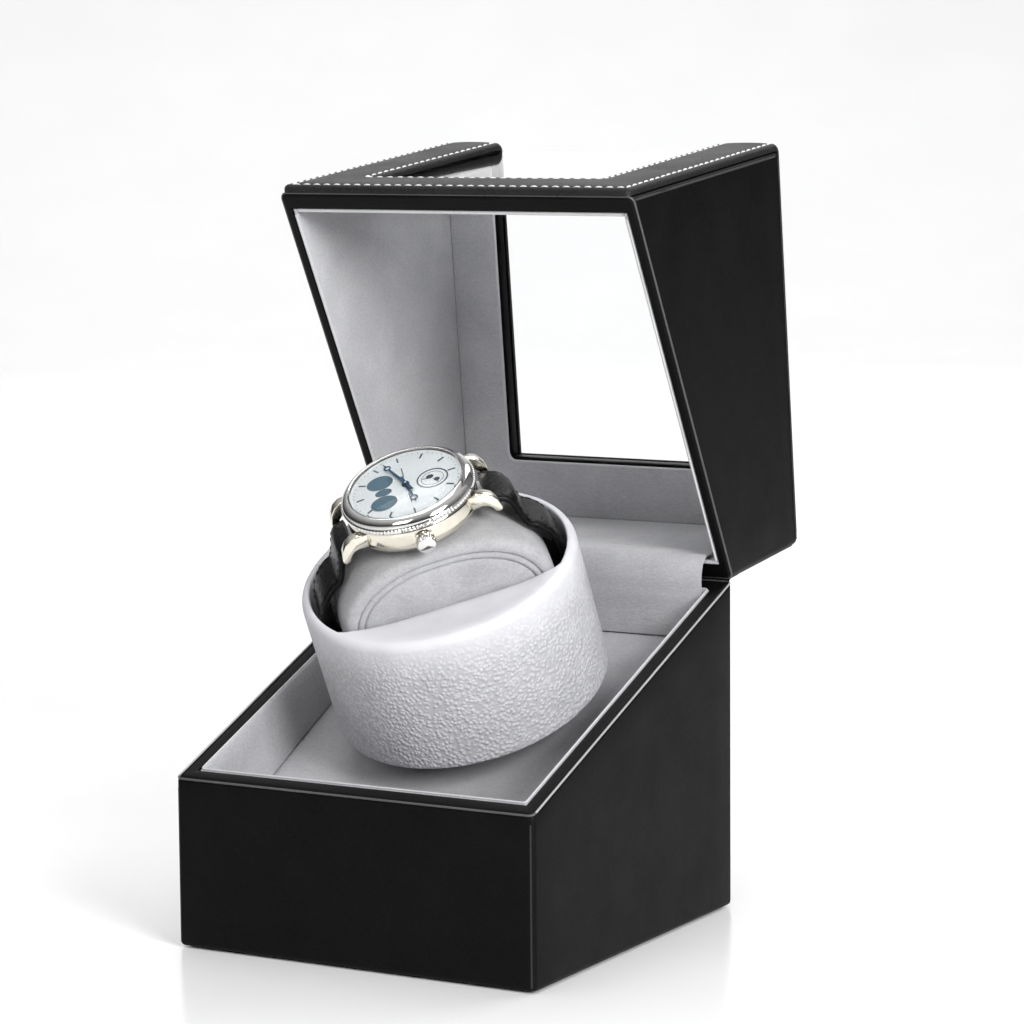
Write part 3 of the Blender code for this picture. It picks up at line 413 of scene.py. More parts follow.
for names, mm_ in (
    (("base_felt",), "felt"),
    (("base_bottom", "base_left", "base_right", "base_front", "base_back", "lid_left", "lid_right", "lid_back", "lid_front", "lid_top"), "board"),
    (("bush", "drum_gear"), "nylon"),
    (("motor_bracket", "motor_can", "bracket_screw_1", "bracket_screw_2"), "zinc"),
    (("motor_gearbox", "drum_shell"), "abs_grey"),
    (("control_board",), "pcb_green"),
    (("motor_wires",), "wire_red"),
    (("power_inlet", "mode_switch", "switch_rocker"), "abs_black"),
    (("hinge_leaf_base", "hinge_leaf_lid", "motor_pinion", "watch_movement"), "brass"),
    (("hinge_pin", "spindle", "spindle_clip", "watch_caseback"), "steel_brushed"),
):
    for n_ in names:
        paint(n_, mm_)


# ------------------------------------------------------------------ mesh helpers (mm in, metres out)
def mk(name, verts, faces, mat_, body, mtx=None, smooth=35, rep=(), mats=None, index=None):
    me = bpy.data.meshes.new(name)
    me.from_pydata([tuple(v) for v in verts], [], faces)
    for k in (mats or [mat_]):
        me.materials.append(M[k])
    if index:
        for pl, ix in zip(me.polygons, index):
            pl.material_index = ix
    bm = bmesh.new()
    bm.from_mesh(me)
    bmesh.ops.remove_doubles(bm, verts=bm.verts, dist=1e-4)
    bmesh.ops.recalc_face_normals(bm, faces=bm.faces)
    bm.to_mesh(me)
    bm.free()
    me.transform(Matrix.Scale(MM, 4) @ (mtx or Matrix.Identity(4)))
    ob = bpy.data.objects.new(name, me)
    bpy.context.scene.collection.objects.link(ob)
    if smooth:
        me.shade_smooth()
        me.set_sharp_from_angle(angle=math.radians(smooth))
    if body:
        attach(ob, body)
    if rep:
        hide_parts(*rep)
    return ob


def merged(parts):
    v, f = [], []
    for pv, pf in parts:
        n = len(v)
        v += [tuple(q) for q in pv]
        f += [tuple(i + n for i in face) for face in pf]
    return v, f


def loops_mesh(loops, closed_rows=True, caps=False):
    """Faces between loops of equal count; closed_rows joins the last loop to the first."""
    v = [p for lp in loops for p in lp]
    m_ = len(loops[0])
    f = []
    n = len(loops)
    for i in range(n if closed_rows else n - 1):
        a, b = i * m_, ((i + 1) % n) * m_
        for j in range(m_):
            k = (j + 1) % m_
            f.append((a + j, a + k, b + k, b + j))
    if caps:
        f.append(tuple(range(m_))[::-1])
        f.append(tuple(range((n - 1) * m_, n * m_)))
    return v, f


def rr(x, y0, y1, r, nc=7, ns=10):
    """A rectangle with rounded corners, the same count of points whatever its size."""
    pts = []
    cs = ((x - r, y1 - r, 0), (-x + r, y1 - r, 90), (-x + r, y0 + r, 180), (x - r, y0 + r, 270))
    for ci, (cx, cy, a0) in enumerate(cs):
        arc = [(cx + r * math.cos(math.radians(a0 + 90 * i / (nc - 1))), cy + r * math.sin(math.radians(a0 + 90 * i / (nc - 1)))) for i in range(nc)]
        pts += arc
        nx_, ny_, a1 = cs[(ci + 1) % 4]
        b = (nx_ + r * math.cos(math.radians(a1)), ny_ + r * math.sin(math.radians(a1)))
        for i in range(1, ns):
            t = i / ns
            pts.append((arc[-1][0] + (b[0] - arc[-1][0]) * t, arc[-1][1] + (b[1] - arc[-1][1]) * t))
    return pts


def fold_ring(zf):
    """The inner edge of the lid's turned-in leather, 2.9 in at the sides and 4.7 at front and back."""
    return [(x, y, zf(y)) for x, y in rr(59.6, -59.8, 59.8, 0.4)]


def wall_ring(profile):
    """profile rows: (inset, corner radius, height function of y)."""
    return [[(x, y, zf(y)) for x, y in rr(HX - d, -HY + d, HY - d, r)] for d, r, zf in profile]


def lathe(profile, seg, closed=True, f_r=None):
    v, idx = [], []
    for k, (r, h) in enumerate(profile):
        if r < 1e-6:
            idx.append([len(v)] * seg)
            v.append((0, 0, h))
        else:
            idx.append([len(v) + j for j in range(seg)])
            for j in range(seg):
                a = 2 * math.pi * j / seg
                rr_ = r + (f_r(k, j) if f_r else 0.0)
                v.append((rr_ * math.cos(a), rr_ * math.sin(a), h))
    f = []
    n = len(profile)
    for i in range(n if closed else n - 1):
        a, b = idx[i], idx[(i + 1) % n]
        if a[0] == a[1] and b[0] == b[1]:
            continue
        for j in range(seg):
            k = (j + 1) % seg
            q = []
            for c in (a[j], a[k], b[k], b[j]):
                if c not in q:
                    q.append(c)
            if len(q) > 2:
                f.append(tuple(q))
    return v, f


def tube_rings(pts, r, seg=8, closed=False):
    """A tube along points: parallel-transported rings. r is a number or a function of the index."""
    P = [Vector(p) for p in pts]
    n = len(P)
    tang = []
    for i in range(n):
        a, b = (P[i - 1], P[(i + 1) % n]) if closed else (P[max(i - 1, 0)], P[min(i + 1, n - 1)])
        tang.append((b - a).normalized())
    up = Vector((0, 0, 1)) if abs(tang[0].z) < 0.9 else Vector((1, 0, 0))
    nrm = (up - tang[0] * up.dot(tang[0])).normalized()
    rings = []
    for i in range(n):
        nrm = (nrm - tang[i] * nrm.dot(tang[i])).normalized()
        bi = tang[i].cross(nrm)
        q = r(i) if callable(r) else r
        rings.append([tuple(P[i] + nrm * (q * math.cos(2 * math.pi * k / seg)) + bi * (q * math.sin(2 * math.pi * k / seg))) for k in range(seg)])
    return rings


def tube(pts, r, seg=8, closed=False):
    rings = tube_rings(pts, r, seg, closed)
    return loops_mesh(rings, closed_rows=closed, caps=not closed)


def prism(poly, a0, a1, put):
    n = len(poly)
    v = [put(a0, *p) for p in poly] + [put(a1, *p) for p in poly]
    f = [tuple(range(n))[::-1], tuple(range(n, 2 * n))]
    f += [(i, (i + 1) % n, n + (i + 1) % n, n + i) for i in range(n)]
    return v, f


PX = lambda a, p, q: (a, p, q)
PY = lambda a, p, q: (p, a, q)
PZ = lambda a, p, q: (p, q, a)


def baked(ob):
    """Applies the object's modifiers to its mesh."""
    bpy.context.view_layer.update()
    dg = bpy.context.evaluated_depsgraph_get()
    me = bpy.data.meshes.new_from_object(ob.evaluated_get(dg), preserve_all_data_layers=True, depsgraph=dg)
    ob.modifiers.clear()
    old = ob.data
    ob.data = me
    me.name = ob.name
    bpy.data.meshes.remove(old)
    return ob


def bevel(ob, width, seg=3, angle=30, smooth=35):
    md = ob.modifiers.new("bevel", "BEVEL")
    md.width = width * MM
    md.segments = seg
    md.limit_method = "ANGLE"
    md.angle_limit = math.radians(angle)
    md.use_clamp_overlap = True
    baked(ob)
    ob.data.shade_smooth()
    ob.data.set_sharp_from_angle(angle=math.radians(smooth))
    return ob


def cut(ob, cutters, kind="DIFFERENCE"):
    tmp = []
    for v, f, mtx in cutters:
        c = mk("cutter", v, f, "board", None, mtx, smooth=0)
        tmp.append(c)
        md = ob.modifiers.new("cut", "BOOLEAN")
        md.operation, md.solver, md.object = kind, "EXACT", c
    mats_ = [s.material for s in ob.material_slots]
    baked(ob)
    for i, mt in enumerate(mats_):
        if i < len(ob.data.materials):
            ob.data.materials[i] = mt
    while len(ob.data.materials) > len(mats_):
        ob.data.materials.pop()
    for pl in ob.data.polygons:
        pl.material_index = min(pl.material_index, len(mats_) - 1)
    ob.data.shade_smooth()
    ob.data.set_sharp_from_angle(angle=math.radians(35))
    for c in tmp:
        bpy.data.objects.remove(c)
    return ob


def box_v(lo, hi):
    (x0, y0, z0), (x1, y1, z1) = lo, hi
    v = [(x0, y0, z0), (x1, y0, z0), (x1, y1, z0), (x0, y1, z0), (x0, y0, z1), (x1, y0, z1), (x1, y1, z1), (x0, y1, z1)]
    return v, [(0, 3, 2, 1), (4, 5, 6, 7), (0, 1, 5, 4), (1, 2, 6, 5), (2, 3, 7, 6), (3, 0, 4, 7)]


def smooth_curve(keys, step):
    P = [Vector(k) for k in keys]
    P = [2 * P[0] - P[1]] + P + [2 * P[-1] - P[-2]]
    fine = []
    for i in range(1, len(P) - 2):
        for j in range(24):
            t = j / 24
            a, b, c, d = P[i - 1], P[i], P[i + 1], P[i + 2]
            fine.append(0.5 * ((2 * b) + (c - a) * t + (2 * a - 5 * b + 4 * c - d) * t * t + (3 * b - a - 3 * c + d) * t ** 3))
    fine.append(P[-2])
    out, run = [fine[0]], 0.0
    total = sum((fine[i + 1] - fine[i]).length for i in range(len(fine) - 1))
    n = max(2, round(total / step))
    want, k = total / n, 1
    for i in range(len(fine) - 1):
        d = (fine[i + 1] - fine[i]).length
        while k < n and run + d >= k * want:
            out.append(fine[i].lerp(fine[i + 1], (k * want - run) / d))
            k += 1
        run += d
    out.append(fine[-1])
    return out


def sstep(t):
    t = min(1.0, max(0.0, t))
    return t * t * (3 - 2 * t)


# ------------------------------------------------------------------ the power cord, first: lead, coil, flat plug
OX, OY = 8.0, 106.0
lead = smooth_curve([(-30, 90.3, 16.0), (-30, 94.0, 15.4), (-29.6, 98.6, 12.6), (-28.2, 102.6, 8.4), (-25.6, 106.4, 4.6), (-21.6, 110.3, 2.3),
                     (-17.0, 114.2, 1.75), (-12.2, 117.6, 1.65), (-7.2, 120.6, 1.65), (OX + 20.2 * math.cos(math.radians(120)), OY + 20.2 * math.sin(math.radians(120)), 1.65)], 2.5)
SLOTS = [(20.2, 1.65), (17.0, 1.65), (13.8, 1.65), (13.8, 4.75), (17.0, 4.75), (20.2, 4.75), (20.2, 7.85), (17.0, 7.85), (13.8, 7.85)]
coil = []
END_TURNS = (120 - 228 + 360 * 9) / 360.0
steps = int(END_TURNS * 36)
for i in range(1, steps + 1):
    u = END_TURNS * i / steps
    k = min(int(u), 8)
    w = sstep((u - k - 0.78) / 0.22) if k < 8 else 0.0
    (r0, z0), (r1, z1) = SLOTS[k], SLOTS[min(k + 1, 8)]
    r_, z_ = r0 + (r1 - r0) * w, z0 + (z1 - z0) * w
    if u > END_TURNS - 0.14:
        z_ = 7.85 + 1.75 * sstep((u - END_TURNS + 0.14) / 0.14)
    a = math.radians(120 - 360 * u)
    coil.append(Vector((OX + r_ * math.cos(a), OY + r_ * math.sin(a), z_)))
hd = Vector((-0.743, 0.669, 0))
p0 = Vector((OX + 13.8 * math.cos(math.radians(228)), OY + 13.8 * math.sin(math.radians(228)), 0))
tail = [p0 + hd * t + Vector((0, 0, z)) for t, z in ((3, 10.4), (6, 10.95), (10, 11.1), (14, 11.0), (17, 10.5), (20, 9.4), (23, 7.9), (26, 6.2), (29, 4.9), (31.5, 4.25), (33.6, 4.05))]
path = lead + coil + smooth_curve([coil[-1]] + tail, 2.5)[1:]
cu = bpy.data.curves.new("power_cord", "CURVE")
cu.dimensions = "3D"
sp = cu.splines.new("POLY")
sp.points.add(len(path) - 1)
for q, p in zip(sp.points, path):
    q.co = (p.x * MM, p.y * MM, p.z * MM, 1.0)
cu.bevel_depth = 1.5 * MM
cu.bevel_resolution = 3
cu.use_fill_caps = True
cu.materials.append(M["rubber"])
cord_ob = bpy.data.objects.new("power_cord", cu)
bpy.context.scene.collection.objects.link(cord_ob)
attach(cord_ob, "base")
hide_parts("cord_lead", "cord_coil")

# round plug: barrel, body with a ridge, ribbed relief
prof = [(0.85, 56.4), (1.65, 56.6), (1.65, 66.3), (2.6, 66.4), (3.05, 66.8), (3.15, 67.4), (3.15, 73.6), (3.4, 74.0), (3.4, 77.6), (3.0, 79.2), (2.5, 79.5)]
for k in range(4):
    h = 79.7 + 2.5 * k
    prof += [(2.45 - 0.08 * k, h), (2.45 - 0.08 * k, h + 1.5), (1.95, h + 1.75), (1.95, h + 2.25)]
prof += [(2.1, 89.8), (1.6, 90.0), (0, 90.0), (0, 64.2), (0.85, 64.2)]
v, f = lathe(prof, 40)
ym = T((JACK_X, 0, JACK_Z)) @ Matrix(((1, 0, 0, 0), (0, 0, 1, 0), (0, -1, 0, 0), (0, 0, 0, 1)))
plug_round = mk("cord_plug_round", v, f, "rubber", "base", ym, 30, ("cord_plug",))

# flat plug: soft-cornered body with a shallow blank recess, stepped relief, folded steel shell
v, f = merged([loops_mesh([[(x, p, q) for p, q in rr(7.5 - d, 4.07 - 3.92 + d + 0.0, 4.07 + 3.93 - d, 1.2, 5, 3)] for x, d in
               ((5.0, 0.9), (5.12, 0.35), (5.5, 0.08), (6.2, 0), (10, 0), (16, 0), (21.2, 0), (21.7, 0.15), (22.0, 0.6))], False, True)])
body_usb = mk("cord_plug_body", v, f, "rubber", "base", USB, 40, ("usb_plug",))
cut(body_usb, [(*box_v((20.0, -6.3, 1.6), (24.0, 6.3, 6.5)), USB)])
parts = [loops_mesh([[(x, p, q) for p, q in rr(2.2 - d, 1.9 + d, 6.2 - d, 0.9, 5, 2)] for x, d in ((0, 0.5), (0.15, 0.15), (0.5, 0), (5.3, 0))], False, True)]
parts.append(tube([(11 + 6 * math.cos(t), 3.6 * math.sin(t), 7.98) for t in [2 * math.pi * i / 28 for i in range(28)]], 0.14, 6, True))
v, f = merged(parts)
relief = mk("cord_plug_relief", v, f, "rubber", "base", USB, 40)
rect = rr(6.0, 1.8, 6.3, 0.5, 4, 3)
rect_in = rr(5.6, 2.2, 5.9, 0.3, 4, 3)
v, f = loops_mesh([[(x, p, q) for p, q in pts] for x, pts in ((20.3, rect), (33.6, rect), (34.0, rr(5.85, 1.95, 6.15, 0.4, 4, 3)), (33.8, rect_in), (22.4, rect_in))], False, False)
f.append(tuple(range(len(rect)))[::-1])
f.append(tuple(range(4 * len(rect), 5 * len(rect))))
shell_usb = mk("cord_plug_shell", v, f, "steel_brushed", "base", USB, 40, ("usb_shell",))
cut(shell_usb, [(*box_v((27.2, sy - 1.15, 5.0), (29.6, sy + 1.15, 7.0)), USB) for sy in (-2.9, 2.9)] + [(*box_v((23.9, -0.45, 5.4), (24.9, 0.45, 7.0)), USB)])
v, f = box_v((22.6, -5.3, 2.5), (33.0, 5.3, 4.2))
tongue = bevel(mk("cord_plug_tongue", v, f, "abs_grey", "base", USB, 30), 0.15)

# ------------------------------------------------------------------ base: leather wrap, seams, lining, platform
low = lambda y: 0.55
rows = [(1.3, 1.0, lambda y: 0.55), (0.6, 1.6, lambda y: 0.6), (0.15, 1.9, lambda y: 1.05), (0, 2.0, lambda y: 1.9)]
for t in (0.12, 0.3, 0.5, 0.7, 0.88):
    rows.append((0, 2.0, lambda y, t=t: 1.9 + (rim(y) - 1.6 - 1.9) * t))
rows += [(0, 2.0, lambda y: rim(y) - 1.4), (0.08, 2.0, lambda y: rim(y) - 0.85), (0.32, 1.8, lambda y: rim(y) - 0.38), (0.62, 1.6, lambda y: rim(y) - 0.22), (0.85, 1.5, lambda y: rim(y) - 0.55),
         (1.15, 1.3, lambda y: rim(y) - 0.5), (1.5, 1.1, lambda y: rim(y) - 0.12), (2.0, 1.0, lambda y: rim(y)), (3.0, 0.8, lambda y: rim(y) + 0.05), (4.5, 0.5, lambda y: rim(y)), (4.85, 0.4, lambda y: rim(y) - 0.12),
         (5.0, 0.4, lambda y: rim(y) - 0.4), (5.0, 0.4, lambda y: rim(y) - 0.86), (0.8, 1.3, lambda y: rim(y) - 0.86), (0.8, 1.3, low)]
v, f = loops_mesh(wall_ring(rows))
base_wrap = mk("base_wrap", v, f, "black_leather", "base", None, 40, ("base_leather",))


def cyl_y(r, y0, y1, cx, cz, seg=36):
    return ([(cx + r * math.cos(2 * math.pi * j / seg), y, cz + r * math.sin(2 * math.pi * j / seg)) for y in (y0, y1) for j in range(seg)],
            [tuple(range(seg))[::-1], tuple(range(seg, 2 * seg))] + [(j, (j + 1) % seg, seg + (j + 1) % seg, seg + j) for j in range(seg)])


hinge_box = box_v((-35.4, -5.7, -2.05), (35.4, 3.0, 3.0))
cut(base_wrap, [(*cyl_y(4.4, 58, 68, JACK_X, JACK_Z), None), (*box_v((SWITCH_X - 6.8, 58, SWITCH_Z - 4.6), (SWITCH_X + 6.8, 68, SWITCH_Z + 4.6)), None), (*hinge_box, BASE_H)])

# turned edge that runs under the rim, coloured light grey as a painted highlight line and lighter still along the two
# sides as a stronger painted highlight, and the seams down the four corners
loop = [(x, y, rim(y) - 0.26) for x, y in rr(HX - 0.28, -HY + 0.28, HY - 0.28, 1.7, 7, 14)]
v, f = tube(loop, 0.33, 8, True)
# faces along the two side walls take the brighter copy, a painted highlight
side_highlight_faces = [1 if abs(v[q[0]][0]) > HX - 0.95 and abs(v[q[0]][1]) < HY - 1.6 else 0 for q in f]
mk("base_rim_seam", v, f, "seam", "base", None, 60, mats=["seam", "seam_painted_highlight"], index=side_highlight_faces)
parts = []
for sx in (-1, 1):
    for sy in (-1, 1):
        cx, cy = sx * (HX - 2.0), sy * (HY - 2.0)
        q = (cx + sx * 2.0 * math.cos(math.radians(62)), cy + sy * 2.0 * math.sin(math.radians(62)))
        parts.append(tube([(q[0], q[1], 1.6 + (rim(q[1]) - 3.0 - 1.6) * t / 10) for t in range(11)], 0.3, 6))
v, f = merged(parts)
mk("base_corner_seams", v, f, "seam_dark", "base", None, 60)

IN = 5.3
top = lambda d: (lambda y: rim(y) - 0.15 - d)
rows = [(IN, 0.6, lambda y: plat(y) + 0.4), (IN, 0.6, top(0.55)), (IN + 0.14, 0.7, top(0.18)), (IN + 0.55, 0.9, top(0.0)), (IN + 0.95, 1.1, top(0.14)), (IN + 1.2, 1.3, top(0.6))]
for t in (0.2, 0.45, 0.7, 0.9):
    rows.append((IN + 1.2 + 0.35 * math.sin(math.pi * t), 1.4, lambda y, t=t: rim(y) - 0.75 + (plat(y) + 0.4 - rim(y) + 0.75) * t))
rows.append((IN + 1.2, 1.2, lambda y: plat(y) + 0.4))
v, f = loops_mesh(wall_ring(rows))
mk("base_velvet", v, f, "velvet", "base", None, 50, ("base_lining",))
# pale bead along the lining's top edge, a painted highlight
loop = [(x, y, rim(y) - 0.02) for x, y in rr(HX - IN - 0.45, -HY + IN + 0.45, HY - IN - 0.45, 1.0, 6, 14)]
v, f = tube(loop, 0.33, 8, True)
mk("base_velvet_edge", v, f, "velvet_edge_highlight", "base", None, 60)

# platform, its velvet a little crowned between its edges
NX, NY = 46, 48
xs_ = [57.3 * (2 * i / NX - 1) for i in range(NX + 1)]
ys_ = [59.3 * (2 * j / NY - 1) for j in range(NY + 1)]
v, f = [], []
for j, y in enumerate(ys_):
    for i, x in enumerate(xs_):
        e = min(57.3 - abs(x), 59.3 - abs(y))
        z = plat(y) - 0.55 * (1 - min(e / 3.5, 1.0)) ** 2
        v.append((x, y, z))
n1 = NX + 1
f += [(j * n1 + i, j * n1 + i + 1, (j + 1) * n1 + i + 1, (j + 1) * n1 + i) for j in range(NY) for i in range(NX)]
edge = [i for i in range(n1)] + [j * n1 + NX for j in range(1, NY + 1)] + [NY * n1 + i for i in range(NX - 1, -1, -1)] + [j * n1 for j in range(NY - 1, 0, -1)]
base_i = len(v)
v += [(v[k][0], v[k][1], plat(v[k][1]) - 3.37) for k in edge]
ne = len(edge)
f += [(edge[k], base_i + k, base_i + (k + 1) % ne, edge[(k + 1) % ne]) for k in range(ne)]
f.append(tuple(base_i + k for k in range(ne)))
platform = mk("platform_velvet", v, f, "velvet", "base", None, 50, ("platform",))


def cyl_z(r, h0, h1, cx=0.0, seg=32):
    return ([(cx + r * math.cos(2 * math.pi * j / seg), r * math.sin(2 * math.pi * j / seg), h) for h in (h0, h1) for j in range(seg)],
            [tuple(range(seg))[::-1], tuple(range(seg, 2 * seg))] + [(j, (j + 1) % seg, seg + (j + 1) % seg, seg + j) for j in range(seg)])


cut(platform, [(*cyl_z(6.0, -6, 4), DRUM), (*cyl_z(1.8, -6.0, -0.6, -38.2, 16), DRUM), (*cyl_z(1.8, -6.0, -0.6, 52.5, 16), DRUM)])

# ------------------------------------------------------------------ lid: leather wrap and seams
rows = [(1.3, 1.2, lid_rim), (0.7, 1.5, lambda y: lid_rim(y) + 0.08), (0.28, 1.8, lambda y: lid_rim(y) + 0.4), (0.05, 2.0, lambda y: lid_rim(y) + 0.9),
        (0, 2.0, lambda y: lid_rim(y) + 1.4)]
for t in (0.15, 0.4, 0.65, 0.88):
    rows.append((0, 2.0, lambda y, t=t: lid_rim(y) + 1.4 + (HEIGHT - 2.0 - lid_rim(y) - 1.4) * t))
rows += [(0, 2.0, lambda y: HEIGHT - 1.6), (0.12, 1.9, lambda y: HEIGHT - 0.85), (0.45, 1.7, lambda y: HEIGHT - 0.3), (1.0, 1.4, lambda y: HEIGHT),
         (10.0, 0.5, lambda y: HEIGHT), (10.0, 0.5, lambda y: HEIGHT - 0.8), (0.8, 1.3, lambda y: HEIGHT - 0.8), (0.8, 1.3, lambda y: lid_rim(y) + 0.86)]
v, f = loops_mesh([fold_ring(lid_rim)] + wall_ring(rows) + [fold_ring(lambda y: lid_rim(y) + 0.86)])
lid_wrap = mk("lid_wrap", v, f, "black_leather", "lid", LID, 40, ("lid_leather",))
cut(lid_wrap, [(*box_v((-41.3, -70, 74.1), (41.3, 40.0, 160)), LID), (*box_v((-35.4, -5.7, -3.0), (35.4, 3.0, 1.9)), LID_H)])
# bead on the lid's rim edge, light grey as a painted highlight line
loop = [(x, y, lid_rim(y) + 0.95) for x, y in rr(HX - 0.02, -HY + 0.02, HY - 0.02, 2.0, 7, 14)]
v, f = tube(loop, 0.36, 8, True)
mk("lid_rim_seam", v, f, "seam", "lid", LID, 60)
# turned edge just under the stitched frame, along the two sides and the back, and up the front's two edges
side_pts = [(HX - 0.02, -HY + 2.0 + (2 * HY - 4.0) * t / 24, HEIGHT - 1.3) for t in range(25)]
parts = [tube(side_pts, 0.3, 6), tube([(-x, y, z) for x, y, z in side_pts], 0.3, 6)]
parts.append(tube([(-HX + 2.5 + (2 * HX - 5.0) * t / 20, HY - 0.02, HEIGHT - 1.3) for t in range(21)], 0.3, 6))
for sx in (-1, 1):
    q = (sx * (HX - 0.25), -HY + 1.15)
    parts.append(tube([(q[0], q[1], lid_rim(q[1]) + 1.8 + (HEIGHT - 3.0 - lid_rim(q[1]) - 1.8) * t / 16) for t in range(17)], 0.3, 6))
    q = (sx * (HX - 0.95), HY - 0.3)
    parts.append(tube([(q[0], q[1], lid_rim(q[1]) + 1.8 + (HEIGHT - 3.0 - lid_rim(q[1]) - 1.8) * t / 16) for t in range(17)], 0.3, 6))
v, f = merged(parts)
mk("lid_edge_seams", v, f, "seam_dark", "lid", LID, 60)

# ------------------------------------------------------------------ stitched padded frame round the window
RC = 0.8
S1 = (HEIGHT - RC) - 53.4
ARC = (RC + 1.5) * math.pi / 2
S2 = S1 + ARC
STOT = S2 + 62.6 + HY - RC
W1, W2 = WIN_Z - 53.4, S2 + WIN_Y + HY - RC
XO = 61.6


def lay(x, s, o):
    """A point of the frame: x across, s along the front then the top, o out from the leather."""
    if s < S1:
        return (x, -HY - o, 53.4 + s)
    if s < S2:
        a = (s - S1) / ARC * math.pi / 2
        return (x, -HY + RC - (RC + o) * math.cos(a), HEIGHT - RC + (RC + o) * math.sin(a))
    return (x, -HY + RC + (s - S2), HEIGHT + o)


def d_out(x, s):
    return min(XO - abs(x), s, STOT - s)


def d_in(x, s):
    return math.hypot(max(abs(x) - WIN_X, 0.0), max(W1 - s, 0.0, s - W2))


def frame_top(x, s):
    do, di = d_out(x, s), d_in(x, s)
    d = min(do, di)
    o = 0.3 + 0.75 + 1.65 * math.sqrt(max(0.0, 1 - (1 - min(d / 1.7, 1.0)) ** 2))
    o += 0.28 * math.sin(math.pi * min(1.0, max(0.0, (min(do, di) - 2.4) / 7.0)) * 0.5)
    for q in (do, di):
        o -= 0.3 * math.exp(-((q - 2.35) / 0.55) ** 2)
    return o


def round_corner(x, s, r=2.0):
    sx = 1 if x > 0 else -1
    cx = XO - r
    for cs, sg in ((r, -1), (STOT - r, 1)):
        a, b = abs(x) - cx, (s - cs) * sg
        if a > 0 and b > 0:
            mx, L = max(a, b), math.hypot(a, b)
            return sx * (cx + a / L * mx), cs + sg * b / L * mx
    return x, s


dl = [0, 0.12, 0.35, 0.7, 1.15, 1.6, 2.0, 2.35, 2.7, 3.1, 3.7, 4.8, 6.5, 8.5]
leg = [XO - q for q in dl] + [WIN_X + q for q in dl[::-1]]
xs_ = sorted(-q for q in leg) + [WIN_X * (2 * i / 16 - 1) for i in range(1, 16)] + sorted(leg)
r1 = [q for q in dl] + [W1 - q for q in dl[::-1]]
r2 = [W2 + q for q in dl] + [STOT - q for q in dl[::-1]]
mid = [W1 + (S1 - W1) * i / 20 for i in range(1, 21)] + [S1 + ARC * i / 8 for i in range(1, 9)] + [S2 + (W2 - S2) * i / 26 for i in range(1, 26)]
ss_ = sorted(r1) + mid + sorted(r2)
hole = lambda i, j: abs((xs_[i] + xs_[i + 1]) / 2) < WIN_X and W1 < (ss_[j] + ss_[j + 1]) / 2 < W2
v, f, idx = [], [], {}


def vid(i, j, t):
    if (i, j, t) not in idx:
        x, s = xs_[i], ss_[j]
        o = frame_top(x, s) if t else 0.3
        idx[i, j, t] = len(v)
        v.append(lay(*round_corner(x, s), o))
    return idx[i, j, t]


nx_, ns_ = len(xs_) - 1, len(ss_) - 1
for i in range(nx_):
    for j in range(ns_):
        if hole(i, j):
            continue
        for t in (0, 1):
            f.append((vid(i, j, t), vid(i + 1, j, t), vid(i + 1, j + 1, t), vid(i, j + 1, t)))
        for di, dj, e in ((-1, 0, ((i, j), (i, j + 1))), (1, 0, ((i + 1, j), (i + 1, j + 1))), (0, -1, ((i, j), (i + 1, j))), (0, 1, ((i, j + 1), (i + 1, j + 1)))):
            a, b = i + di, j + dj
            if not (0 <= a < nx_ and 0 <= b < ns_) or hole(a, b):
                f.append((vid(*e[0], 0), vid(*e[1], 0), vid(*e[1], 1), vid(*e[0], 1)))
frame_pad = mk("window_frame_pad", v, f, "frame_leather", "lid", LID, 60, ("window_frame",))


def stitch_loop(x, s0, s1, pitch, length):
    """Stitches round a rectangle of the frame, at half-width x from s0 to s1."""
    out = []
    sides = [((-x, s0), (x, s0)), ((x, s0), (x, s1)), ((x, s1), (-x, s1)), ((-x, s1), (-x, s0))]
    for (ax, as_), (bx, bs) in sides:
        L = math.hypot(bx - ax, bs - as_)
        n = round(L / pitch)
        for k in range(n):
            c = (k + 0.5) / n
            pts = []
            for q in range(6):
                t = c + (q / 5 - 0.5) * length / L
                px, ps = ax + (bx - ax) * t, as_ + (bs - as_) * t
                wob = 0.10 * ((k * 7919 % 13) / 13 - 0.5)
                px, ps = px + (wob if ax == bx else 0), ps + (wob if as_ == bs else 0)
                pts.append(lay(px, ps, frame_top(px, ps) - 0.10 + 0.26 * math.sin(math.pi * q / 5)))
            out.append(tube(pts, lambda i: (0.16, 0.34, 0.38, 0.38, 0.34, 0.16)[i], 6))
    return out


v, f = merged(stitch_loop(XO - 2.35, 2.35, STOT - 2.35, 3.7, 2.75) + stitch_loop(WIN_X + 2.35, W1 - 2.35, W2 + 2.35, 3.7, 2.75))
mk("window_frame_stitches", v, f, "thread", "lid", LID, 60)


def window_loop(k, o, n=10):
    """Points round the window's opening, widened by k, at depth o below the leather."""
    pts = []
    x, z0, y1 = WIN_X + k, WIN_Z - k, WIN_Y + k
    for i in range(n):
        pts.append((x - 2 * x * i / n, -HY + o, z0))
    for i in range(n):
        pts.append((-x, -HY + o, z0 + (HEIGHT - o - z0) * i / n))
    for i in range(n):
        pts.append((-x, -HY + o + (y1 + HY - o) * i / n, HEIGHT - o))
    for i in range(n):
        pts.append((-x + 2 * x * i / n, y1, HEIGHT - o))
    for i in range(n):
        pts.append((x, y1 - (y1 + HY - o) * i / n, HEIGHT - o))
    for i in range(n):
        pts.append((x, -HY + o, HEIGHT - o - (HEIGHT - o - z0) * i / n))
    return pts


v, f = loops_mesh([window_loop(3.0, 4.86), window_loop(0.3, 4.86), window_loop(0.08, 4.6), window_loop(0.02, 4.1), window_loop(0.02, 1.7), window_loop(0.08, 1.35),
                   window_loop(0.75, 1.35)])
mk("window_edge", v, f, "edge_leather", "lid", LID, 40)

